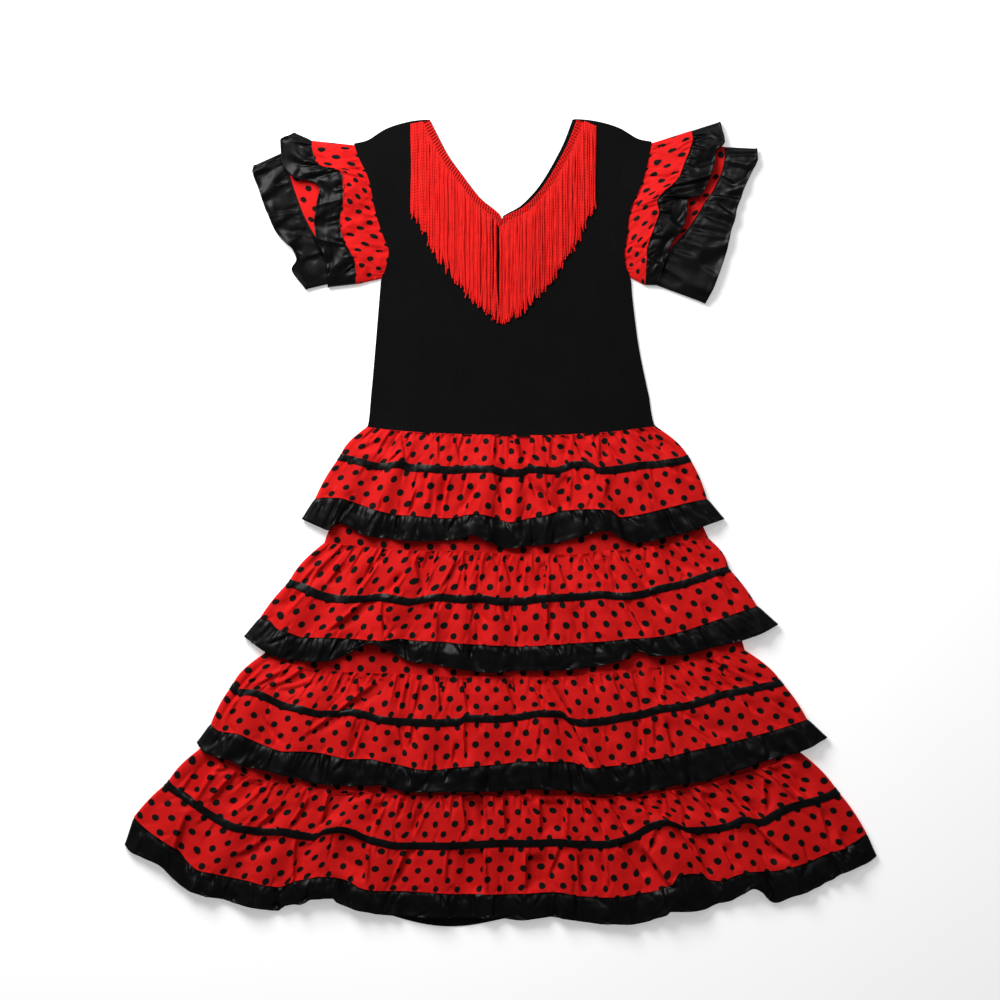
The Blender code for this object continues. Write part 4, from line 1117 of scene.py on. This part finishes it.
def section_values(sections, column, rows):
    """One column of a section table on a smooth curve over its rows."""
    values = [section[column] for section in sections]
    return curve(np.arange(len(sections)), values, rows)


def bodice_half(sections, rows, t, neck_shift, is_front):
    """Points of half a bodice panel, rows by columns from the side to the neck or the middle."""
    values = [section_values(sections, column, rows)[:, None] for column in range(6)]
    side_x, side_y, neck_x, neck_y, side_z, middle_z = values
    above = (rows > V_POINT_ROW)[:, None]
    x = between((side_x, neck_x + neck_shift * above), t)
    y = between((side_y, neck_y), np.sin(math.pi / 2 * t))
    dip = SHOULDER_DIP * np.exp(-((t - SHOULDER_DIP_PLACE) / SHOULDER_DIP_WIDTH) ** 2)
    y = y - dip * smooth_step(*SHOULDER_DIP_ROWS, rows)[:, None]
    waist_y = curve(*zip(*WAIST), x) - (WAIST_TUCK if is_front else -BACK_WAIST_RISE)
    f = np.clip(rows, 0, 1)[:, None]
    y = np.where(f < 1, between((waist_y, y), f), y)
    z = np.full_like(x, JERSEY_THICK / 2 + FLOOR_ROOM)
    if is_front:
        z = between((side_z, middle_z), smooth_step(0.0, 0.3, t))
    return np.stack([x, y, z], axis=2)


def make_bodice(material):
    """Front and back of the bodice, each of two halves that share their points up to the V."""
    rows = np.linspace(0, len(BODICE_LEFT) - 1, (len(BODICE_LEFT) - 1) * BODICE_ROWS_PER_SECTION + 1)
    t = np.linspace(0, 1, BODICE_COLUMNS + 1)[None, :] ** BODICE_SPREAD
    for name, is_front, shift in (("bodice_front", True, 0.0), ("bodice_back", False, BACK_NECK_SHIFT)):
        left, right = (bodice_half(half, rows, t, shift, is_front) for half in (BODICE_LEFT, BODICE_RIGHT))
        quads, row_of, column_of = grid_quads(*left.shape[:2], False)
        shared = (column_of == BODICE_COLUMNS) & (row_of <= V_POINT_ROW * BODICE_ROWS_PER_SECTION)
        other = np.where(shared, quads, quads + left.shape[0] * left.shape[1])
        points = np.concatenate([left.reshape(-1, 3), right.reshape(-1, 3)])
        bend = soft_noise(points[:, 0] / 300, points[:, 1] / 300, seeded("bodice", is_front), 3.0, 3.0)
        points[:, 2] += (FRONT_BEND if is_front else BACK_BEND) * np.abs(bend)
        used = np.unique(np.concatenate([quads, other]))
        place = np.zeros(len(points), int)
        place[used] = np.arange(len(used))
        faces = place[np.concatenate([quads[:, ::-1], other])]
        points = points[used]
        piece = add_shell(name + "_cloth", points, faces, points[faces][:, :, :2], JERSEY_THICK, material)
        dress(piece, name)


def sleeve_row(sections, name, at, margin):
    """A sleeve row as a smooth curve over its sections, its ends moved in by a margin."""
    column = SLEEVE_ROWS.index(name)
    points = np.array([section[column] for section in sections], float)
    for end, near in ((0, 1), (-1, -2)):
        step = points[near] - points[end]
        points[end] += step * margin / np.linalg.norm(step)
    places = np.arange(len(points))
    scaled = at * (len(points) - 1)
    return np.stack([curve(places, points[:, 0], scaled), curve(places, points[:, 1], scaled)], axis=-1)


def sleeve_height(piece, s, w, length, random):
    """Height of a sleeve piece's front, and the cloth that its creases take up."""
    facts = SLEEVE_PIECES[piece]
    swell = np.sin(math.pi * np.clip(s, 1e-4, 1 - 1e-4)) ** SLEEVE_SWELL
    ends = between(facts["ends"], w)
    drift = 0.5 * soft_noise(s, w, random, 2.0, 0.4)
    crest = 0.5 - 0.5 * np.cos(math.tau * (SLEEVE_WAVES * s + drift))
    pressed, taken = press_creases(s, w, length, gather_sets(random, length, SLEEVE_GATHERS[piece]))
    if facts["cloth"] == "satin":
        pressed = pressed * smooth_step(0.0, 0.15, w) - 1.0 * (1.0 - smooth_step(0.04, 0.16, w))
    else:
        pressed = pressed * smooth_step(0.0, 0.14, w)
    if piece != "lower":
        pressed = pressed + NOISE_RISE * soft_noise(s, w, random, 4.0, 1.5) * smooth_step(0.0, 0.14, w)
    raised = between(facts["wave"], w) * crest * swell + pressed
    z = between((ends, between(facts["middle"], w)), swell) + side_fade(SLEEVE_SIDES, s) * raised
    return np.maximum(z, ends - SLEEVE_DEEPEST), taken


def make_sleeve_piece(side, sections, piece, materials, random):
    """One piece of a sleeve as a pressed tube, wider than it is long."""
    facts = SLEEVE_PIECES[piece]
    margin = (facts["ends"][1] - facts["back"]) / 2 + SIDE_ROOM + facts["trim"]

    def places(at, share):
        inner, outer = (sleeve_row(sections, row, at, margin) for row in facts["rows"])
        return inner * (1 - share[..., None]) + outer * share[..., None]

    outline_at = np.linspace(0, 1, SLEEVE_OUTLINE_POINTS)
    inner, outer = (sleeve_row(sections, row, outline_at, margin) for row in facts["rows"])
    length = path_lengths(outer)[-1]
    run = path_lengths((inner + outer) / 2)
    columns = int(length / SLEEVE_STEP)
    s, w = grid_places(columns, hemmed_rows(SLEEVE_PIECE_ROWS, SLEEVE_LAST_ROW))
    along = between(facts["span"], w)
    plan = places(s, along)
    z, taken = sleeve_height(piece, s, w, length, random)
    front = np.concatenate([plan, z[..., None]], axis=2)
    thickness = np.full(SLEEVE_PIECE_ROWS, DOTTED_THICK)
    if facts["cloth"] == "satin":
        thickness = hemmed_thickness(SLEEVE_PIECE_ROWS)
    back_plan = places(*back_places(max(columns // 5, 8), along[:, 0]))
    back_z = np.maximum(facts["back"], thickness / 2 + FLOOR_ROOM)[:, None, None]
    back = np.concatenate([back_plan, np.broadcast_to(back_z, back_plan.shape[:2] + (1,))], axis=2)
    tube = ring_columns(front, back)
    cut = facts["full"] * run[-1]
    across = cloth_across(s, taken, cut, run[-1]) - cut * s
    across += facts["full"] * np.interp(s, outline_at, run)
    u = tube_across(across, cut, back.shape[1])
    depth = np.linalg.norm(plan[-1, columns // 2] - plan[0, columns // 2])
    down = -w[:, :1] * depth * SLEEVE_LENGTH_FULL
    uv = np.stack([u + SLEEVE_CLOTH_START, np.broadcast_to(down, u.shape)], axis=2)
    name = f"sleeve_{side}_{piece}"
    shell = add_tube(name + "_cloth", tube, uv, thickness, materials[facts["cloth"]], flip=side == "right")
    dress(shell, name)


def make_sleeves(materials):
    """Four pieces for each sleeve."""
    for side, sections in (("left", SLEEVE_LEFT), ("right", SLEEVE_RIGHT)):
        for number, piece in enumerate(SLEEVE_PIECES):
            make_sleeve_piece(side, sections, piece, materials, seeded("sleeve_" + side, number))


def neck_path(sections):
    """The neck edge of one side from the shoulder to the V, evenly spaced."""
    rows = np.linspace(len(sections) - 1, V_POINT_ROW, NECK_POINTS)
    edge = np.stack([section_values(sections, 2, rows), section_values(sections, 3, rows)], axis=1)
    return even_path(edge, BRAID_POINTS)


def braid_edges(sections, arm):
    """The inner and outer edges of one arm's braid, down to the mitre below the V."""
    neck = neck_path(sections)
    step = np.gradient(neck, axis=0)
    step /= np.linalg.norm(step, axis=1)[:, None]
    out = np.stack([-step[:, 1], step[:, 0]], axis=1) * arm["sign"]
    inset = np.interp(np.linspace(0, 1, BRAID_POINTS), INSET_PLACES, arm["insets"])[:, None]
    inner = neck + out * inset
    outer = neck + out * (inset + BRAID_WIDTH)
    mitre = np.array([arm["sign"] * MITRE_GAP, neck[-1, 1] - BRAID_MITRE_DROP])
    keep = (outer[:, 0] - mitre[0]) * arm["sign"] > 0.5
    outer = even_path(np.concatenate([outer[keep], [mitre]]), BRAID_POINTS)
    inner[-1, 0] = neck[-1, 0] + arm["sign"] * MITRE_GAP
    return inner, outer


def braid_grid(inner, outer):
    """Points of a braid with two cords along its edges and ladder-like cross threads between them."""
    across = np.array(BRAID_ACROSS)
    plan = inner[None] * (1 - across[:, None, None]) + outer[None] * across[:, None, None]
    run = path_lengths(inner)[None, :]
    cord = sum(np.exp(-((across - place) / CORD_WIDTH) ** 2) for place in CORD_PLACES)
    cord = cord.clip(0, 1)[:, None]
    ladder = 0.5 + 0.5 * np.cos(math.tau * run / BRAID_PITCH)
    twist = 0.5 + 0.5 * np.cos(math.tau * run / (BRAID_PITCH * 0.5) + 2.0 * across[:, None])
    rise = CORD_RISE * cord * (0.6 + 0.4 * twist) + (1 - cord) * ladder
    z = np.full(plan.shape[:2], FRINGE_Z + BRAID_THICK / 2) + rise
    uv = np.stack(np.broadcast_arrays(run, across[:, None] * BRAID_WIDTH), axis=2).astype(float)
    return np.concatenate([plan, z[..., None]], axis=2), uv


def make_braid(inner, outer, is_left):
    """Points, faces and cloth places of one arm's braid, with a flat under side."""
    grid, uv = braid_grid(inner, outer)
    quads, row_of, column_of = grid_quads(*grid.shape[:2], False)
    corner_uv = uv[row_of, column_of]
    if is_left:
        quads = quads[:, ::-1]
        corner_uv = corner_uv[:, ::-1]
    top = grid.reshape(-1, 3)
    under = top.copy()
    under[:, 2] = FRINGE_Z - BRAID_THICK / 2
    faces, face_uv = close_sheet(quads, corner_uv, len(top))
    return np.concatenate([top, under]), faces, face_uv


def make_fringe(side, sections, arm, material, random):
    """The braid along one arm of the V and the strands that hang from it."""
    inner, outer = braid_edges(sections, arm)
    parts = [make_braid(inner, outer, side == "left")]
    roots = np.concatenate([[arm["shoulder"]], outer])
    roots = roots[np.argsort(roots[:, 0])]
    xs, ys = zip(*arm["ends"])
    for k in range(STRANDS):
        f = (k + 0.5 + random.uniform(-0.3, 0.3)) / STRANDS
        end_x = between((xs[0], xs[-1]), f)
        end_y = curve(xs, ys, np.array([end_x]))[0] + random.normal(0.0, STRAND_RAGGED)
        root_x = beside_slits(end_x)
        root_y = np.interp(root_x, roots[:, 0], roots[:, 1])
        parts.append(make_strand((root_x, root_y), (end_x, end_y), random))
    places, faces, uvs = zip(*parts)
    starts = np.cumsum([0] + [len(points) for points in places[:-1]])
    faces = np.concatenate([quads + start for quads, start in zip(faces, starts)])
    name = f"fringe_{side}"
    piece = add_mesh(name + "_trim", np.concatenate(places), faces, np.concatenate(uvs), material)
    return trim(piece, name)


def beside_slits(x):
    """The place itself, or the nearer edge of the dark slit that it would fall in."""
    for low, high in FRINGE_SLITS:
        if low < x < high:
            return low if x - low < high - x else high
    return x


def make_strand(root, end, random):
    """Points, faces and cloth places of one strand, a tube that hangs down and curls a little at its end."""
    s = np.linspace(0.0, 1.0, STRAND_SEGMENTS + 1)
    x = root[0] + (end[0] - root[0]) * smooth_step(0.6, 0.95, s)
    x += STRAND_BEND * np.sin(math.tau * (s * random.uniform(0.6, 2.2) + random.uniform()))
    x += random.normal(0.0, STRAND_CURL) * smooth_step(0.86, 1.0, s) ** 2
    y = root[1] + STRAND_TUCK + (end[1] - root[1] - STRAND_TUCK) * s
    layer = random.choice(STRAND_LAYERS)
    sway = STRAND_SWAY * np.sin(math.tau * s * 3 + random.uniform(0, 6))
    z = FRINGE_Z + STRAND_RISE + layer * smooth_step(0.0, 0.15, s) + sway
    centre = np.stack([x, y, z], axis=1)
    angles = np.arange(STRAND_SIDES) * math.tau / STRAND_SIDES
    radius = STRAND_RADIUS * random.uniform(0.7, 1.1) * (1 + 0.12 * random.uniform(-1, 1, len(s)))
    radius[-1] *= STRAND_TIP
    points = np.repeat(centre[:, None, :], STRAND_SIDES, axis=1)
    points[:, :, 0] += np.cos(angles)[None, :] * radius[:, None]
    points[:, :, 2] += np.sin(angles)[None, :] * radius[:, None] * STRAND_FLAT
    quads, row_of, column_of = grid_quads(STRAND_SEGMENTS + 1, STRAND_SIDES, True)
    step = abs(root[1] - end[1]) / STRAND_SEGMENTS
    uv = np.stack([column_of * 1.0, row_of * step - STRAND_UV_SHIFT], axis=2)
    caps = strand_caps(len(s) * STRAND_SIDES)
    cap_places = np.stack([points[0].mean(axis=0), points[-1].mean(axis=0)])
    cap_uv = np.full((len(caps), 4, 2), -STRAND_UV_SHIFT)
    quads = np.concatenate([quads[:, ::-1], caps])
    return np.concatenate([points.reshape(-1, 3), cap_places]), quads, np.concatenate([uv[:, ::-1], cap_uv])


def strand_caps(count):
    """Quads that close both ends of a strand of count points, round the two middles that follow them."""
    last_row = count - STRAND_SIDES
    caps = []
    for a in range(0, STRAND_SIDES, 2):
        b = a + 1
        c = (a + 2) % STRAND_SIDES
        caps.append((a, count, c, b))
        caps.append((last_row + a, last_row + b, last_row + c, count + 1))
    return np.array(caps)


def trim(piece, node):
    """A piece's body and node: it goes on the root body and the node it stands for is hidden."""
    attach(piece, "root")
    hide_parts(node)
    return piece


def dress(piece, node):
    """A cloth's body and node, the same as a trim's."""
    trim(piece, node)


class Nodes:
    """Shorthand for building one material's node tree."""

    def __init__(self, name):
        self.material = bpy.data.materials.new(name)
        self.material.use_nodes = True
        self.tree = self.material.node_tree
        self.shader = self.tree.nodes["Principled BSDF"]

    def add(self, kind, **settings):
        node = self.tree.nodes.new(kind)
        for key, value in settings.items():
            setattr(node, key, value)
        return node

    def join(self, source, target):
        self.tree.links.new(source, target)

    def vector(self, operation, a, b=None):
        node = self.add("ShaderNodeVectorMath", operation=operation)
        self.join(a, node.inputs[0])
        if b is not None:
            node.inputs[1].default_value = b
        return node.outputs["Value"] if operation == "LENGTH" else node.outputs["Vector"]

    def math(self, operation, a, b):
        node = self.add("ShaderNodeMath", operation=operation)
        self.join(a, node.inputs[0])
        if isinstance(b, (int, float)):
            node.inputs[1].default_value = b
        else:
            self.join(b, node.inputs[1])
        return node.outputs[0]

    def noise(self, place, scale, detail=3.0, roughness=0.55):
        node = self.add("ShaderNodeTexNoise")
        self.join(place, node.inputs["Vector"])
        node.inputs["Scale"].default_value = scale
        node.inputs["Detail"].default_value = detail
        node.inputs["Roughness"].default_value = roughness
        return node.outputs["Fac"]

    def wave(self, place, scale, distortion=0.0, direction="X"):
        node = self.add("ShaderNodeTexWave", wave_type="BANDS", bands_direction=direction)
        self.join(place, node.inputs["Vector"])
        node.inputs["Scale"].default_value = scale
        node.inputs["Distortion"].default_value = distortion
        return node.outputs["Fac"]

    def range(self, value, low, high, to_low=0.0, to_high=1.0, smooth=False):
        node = self.add("ShaderNodeMapRange", interpolation_type="SMOOTHSTEP" if smooth else "LINEAR")
        self.join(value, node.inputs["Value"])
        node.inputs["From Min"].default_value = low
        node.inputs["From Max"].default_value = high
        node.inputs["To Min"].default_value = to_low
        node.inputs["To Max"].default_value = to_high
        return node.outputs["Result"]

    def mix(self, factor, a, b):
        node = self.add("ShaderNodeMix", data_type="RGBA")
        self.join(factor, node.inputs["Factor"])
        for socket, value in ((node.inputs[6], a), (node.inputs[7], b)):
            if isinstance(value, tuple):
                socket.default_value = (*value, 1.0)
            else:
                self.join(value, socket)
        return node.outputs[2]

    def bump(self, height, strength, distance, after=None):
        node = self.add("ShaderNodeBump")
        self.join(height, node.inputs["Height"])
        node.inputs["Strength"].default_value = strength
        node.inputs["Distance"].default_value = distance
        if after is not None:
            self.join(after, node.inputs["Normal"])
        return node.outputs["Normal"]

    def cloth_place(self):
        return self.add("ShaderNodeUVMap", uv_map="cloth").outputs["UV"]

    def object_place(self):
        return self.add("ShaderNodeTexCoord").outputs["Object"]

    def finish(self, colour, roughness, normal, **constants):
        self.join(colour, self.shader.inputs["Base Color"])
        self.join(roughness, self.shader.inputs["Roughness"])
        self.join(normal, self.shader.inputs["Normal"])
        for key, value in constants.items():
            self.shader.inputs[key.replace("_", " ")].default_value = value
        return self.material


def crossed_bands(nodes, place, across, down, distortions):
    """Height of a weave or a knit as two sets of fine bands."""
    bands = zip((across, down), distortions, ("X", "Y"))
    return nodes.math("MULTIPLY", *(nodes.wave(place, *facts) for facts in bands))


def dotted_material():
    """Red cloth with black dots in rows that are shifted by half a pitch."""
    nodes = Nodes("dotted_cloth")
    place = nodes.cloth_place()
    solid = nodes.object_place()
    pitch = (1 / (DOT_PITCH_ACROSS * MM), 1 / (DOT_PITCH_DOWN * MM), 0.0)
    wander = nodes.noise(solid, 160.0, 2.0)
    distances = []
    for shift in ((0.0, 0.0, 0.0), (0.5, 0.5, 0.0)):
        cell = nodes.vector("MULTIPLY", place, pitch)
        cell = nodes.vector("FRACTION", nodes.vector("ADD", cell, shift))
        cell = nodes.vector("SUBTRACT", cell, (0.5, 0.5, 0.0))
        cell = nodes.vector("MULTIPLY", cell, (DOT_PITCH_ACROSS, DOT_PITCH_DOWN, 0.0))
        distances.append(nodes.vector("LENGTH", cell))
    distance = nodes.math("MINIMUM", distances[0], distances[1])
    distance = nodes.math("ADD", distance, nodes.range(wander, 0.0, 1.0, -DOT_WANDER, DOT_WANDER))
    dot = nodes.range(distance, DOT_RADIUS - DOT_SOFT, DOT_RADIUS + DOT_SOFT, 1.0, 0.0, smooth=True)
    shade = nodes.noise(solid, 38.0, 4.0)
    red = nodes.mix(nodes.range(shade, 0.3, 0.7), RED_DEEP, RED)
    colour = nodes.mix(dot, red, DOT_BLACK)
    rough = nodes.range(nodes.noise(solid, 220.0), 0.3, 0.7, 0.62, 0.78)
    crumple = nodes.noise(solid, 75.0, 4.0, 0.6)
    normal = nodes.bump(crumple, 0.35, 0.0012)
    normal = nodes.bump(crossed_bands(nodes, place, 100.0, 100.0, (0.6, 0.6)), 0.12, 0.0002, normal)
    gloss = dict(Sheen_Weight=0.01, Sheen_Roughness=0.5, Specular_IOR_Level=0.07)
    return nodes.finish(colour, rough, normal, **gloss)


def satin_material():
    """Black satin with soft crumples and a low gloss."""
    nodes = Nodes("black_satin")
    place = nodes.cloth_place()
    solid = nodes.object_place()
    shade = nodes.noise(solid, 45.0, 3.0)
    colour = nodes.mix(nodes.range(shade, 0.35, 0.65), SATIN_BLACK, tuple(1.5 * c for c in SATIN_BLACK))
    rough = nodes.range(nodes.noise(solid, 90.0), 0.3, 0.7, 0.27, 0.40)
    crumple = nodes.noise(solid, 85.0, 3.0, 0.55)
    normal = nodes.bump(crumple, 0.22, 0.0010)
    threads = nodes.wave(place, 500.0, 1.0, "Y")
    normal = nodes.bump(threads, 0.08, 0.0001, normal)
    return nodes.finish(colour, rough, normal, Sheen_Weight=0.0, Anisotropic=0.4, Specular_IOR_Level=0.10)


def jersey_material():
    """Dull black knit."""
    nodes = Nodes("black_jersey")
    place = nodes.cloth_place()
    solid = nodes.object_place()
    shade = nodes.noise(solid, 30.0, 4.0)
    colour = nodes.mix(nodes.range(shade, 0.3, 0.7), JERSEY_BLACK, tuple(1.35 * c for c in JERSEY_BLACK))
    rough = nodes.range(nodes.noise(solid, 300.0), 0.3, 0.7, 0.82, 0.95)
    normal = nodes.bump(crossed_bands(nodes, place, 260.0, 380.0, (0.4, 0.8)), 0.25, 0.0003)
    normal = nodes.bump(nodes.noise(solid, 40.0), 0.15, 0.0010, normal)
    gloss = dict(Sheen_Weight=0.01, Sheen_Roughness=0.6, Specular_IOR_Level=0.06)
    return nodes.finish(colour, rough, normal, **gloss)


def fringe_material():
    """Twisted threads. On the braid, whose cloth places are positive, rung gaps get painted shade in deep red.
    """
    nodes = Nodes("red_fringe")
    place = nodes.cloth_place()
    solid = nodes.object_place()
    shade = nodes.noise(solid, 120.0, 3.0)
    colour = nodes.mix(nodes.range(shade, 0.3, 0.7), tuple(0.8 * c for c in FRINGE_RED), FRINGE_RED)
    parts = nodes.add("ShaderNodeSeparateXYZ")
    nodes.join(place, parts.inputs[0])
    along, down = parts.outputs[0], parts.outputs[1]
    # Painted shade: the gaps between the braid's rungs, where the ladder dips, are darkened to a deep red
    turn = nodes.math("MULTIPLY", along, math.tau / (BRAID_PITCH * MM))
    cosine = nodes.add("ShaderNodeMath", operation="COSINE")
    nodes.join(turn, cosine.inputs[0])
    gap_shade = nodes.range(cosine.outputs[0], 0.1, -0.7, 0.0, 1.0)
    inside = nodes.range(down, 0.06 * BRAID_WIDTH * MM, 0.14 * BRAID_WIDTH * MM)
    outside = nodes.range(down, 0.92 * BRAID_WIDTH * MM, 0.84 * BRAID_WIDTH * MM)
    gap_shade = nodes.math("MULTIPLY", gap_shade, nodes.math("MULTIPLY", inside, outside))
    # The braid's outer edge is darkened with the same deep red
    edge = nodes.range(down, 0.96 * BRAID_WIDTH * MM, 0.99 * BRAID_WIDTH * MM)
    colour = nodes.mix(nodes.math("MAXIMUM", gap_shade, edge), colour, BRAID_GAP_SHADE_RED)
    rough = nodes.range(nodes.noise(solid, 400.0), 0.3, 0.7, 0.5, 0.7)
    slant = nodes.vector("MULTIPLY", place, (0.35, 1.0, 1.0))
    twist = nodes.wave(slant, 210.0, 0.5, "DIAGONAL")
    normal = nodes.bump(twist, 0.4, 0.0005)
    gloss = dict(Sheen_Weight=0.03, Sheen_Roughness=0.4, Specular_IOR_Level=0.12)
    return nodes.finish(colour, rough, normal, **gloss)


def floor_material():
    """Almost white paper that glows a little, so that it reads as white."""
    nodes = Nodes("pale_floor")
    solid = nodes.object_place()
    shade = nodes.noise(solid, 3.0, 2.0)
    colour = nodes.mix(nodes.range(shade, 0.3, 0.7), FLOOR_WHITE, tuple(0.985 * c for c in FLOOR_WHITE))
    rough = nodes.range(nodes.noise(solid, 40.0), 0.3, 0.7, 0.85, 0.95)
    normal = nodes.bump(nodes.noise(solid, 200.0), 0.02, 0.0002)
    nodes.join(colour, nodes.shader.inputs["Emission Color"])
    return nodes.finish(colour, rough, normal, Specular_IOR_Level=0.1, Emission_Strength=FLOOR_GLOW)


def make_floor():
    """The plain surface that the dress lies on."""
    size = FLOOR_HALF_SIDE
    mesh = bpy.data.meshes.new("floor")
    corners = [(-size, -size, 0), (size, -size, 0), (size, size, 0), (-size, size, 0)]
    mesh.from_pydata(corners, [], [(0, 1, 2, 3)])
    mesh.materials.append(floor_material())
    floor = bpy.data.objects.new("floor", mesh)
    bpy.context.scene.collection.objects.link(floor)


def make_camera():
    """A camera that looks straight down."""
    data = bpy.data.cameras.new("camera")
    data.sensor_width = 36.0
    data.lens = data.sensor_width * CAMERA_HEIGHT / FRAME_SIDE
    camera = bpy.data.objects.new("camera", data)
    camera.location = (*PHOTO_MIDDLE, CAMERA_HEIGHT)
    bpy.context.scene.collection.objects.link(camera)
    bpy.context.scene.camera = camera


def make_lights():
    """Soft square lights, pointed at their targets, and a pale world."""
    for name, (place, target, side, power) in LIGHTS.items():
        data = bpy.data.lights.new(name, "AREA")
        data.shape = "RECTANGLE"
        data.size = side
        data.size_y = side
        data.energy = power
        light = bpy.data.objects.new(name, data)
        light.location = place
        light.rotation_euler = (Vector(target) - Vector(place)).to_track_quat("-Z", "Y").to_euler()
        bpy.context.scene.collection.objects.link(light)
    world = bpy.data.worlds.new("studio")
    world.use_nodes = True
    background = world.node_tree.nodes["Background"]
    background.inputs["Color"].default_value = (1.0, 1.0, 1.0, 1.0)
    background.inputs["Strength"].default_value = WORLD_STRENGTH
    bpy.context.scene.world = world
    bpy.context.scene.view_settings.view_transform = "Standard"
    bpy.context.scene.view_settings.look = "None"


def main():
    """The whole scene, from the floor and lights to the sleeves."""
    materials = {
        "dotted": dotted_material(),
        "satin": satin_material(),
        "jersey": jersey_material(),
    }
    fringe = fringe_material()
    make_camera()
    make_lights()
    make_floor()
    make_bodice(materials["jersey"])
    make_fringe("left", BODICE_LEFT, FRINGE_LEFT, fringe, seeded("fringe", 1))
    make_fringe("right", BODICE_RIGHT, FRINGE_RIGHT, fringe, seeded("fringe", 2))
    for number, tier in enumerate(TIERS, 1):
        sewn = flounce_gathers(tier, seeded("gathers", number))
        main_folds = main_creases(number, tier)
        make_flounce(number, tier, sewn + main_folds, materials)
        make_ruffle(number, tier, sewn, main_folds, materials["satin"])
    for number in range(1, len(TIERS)):
        make_base(number, materials["dotted"])
    make_sleeves(materials)


main()
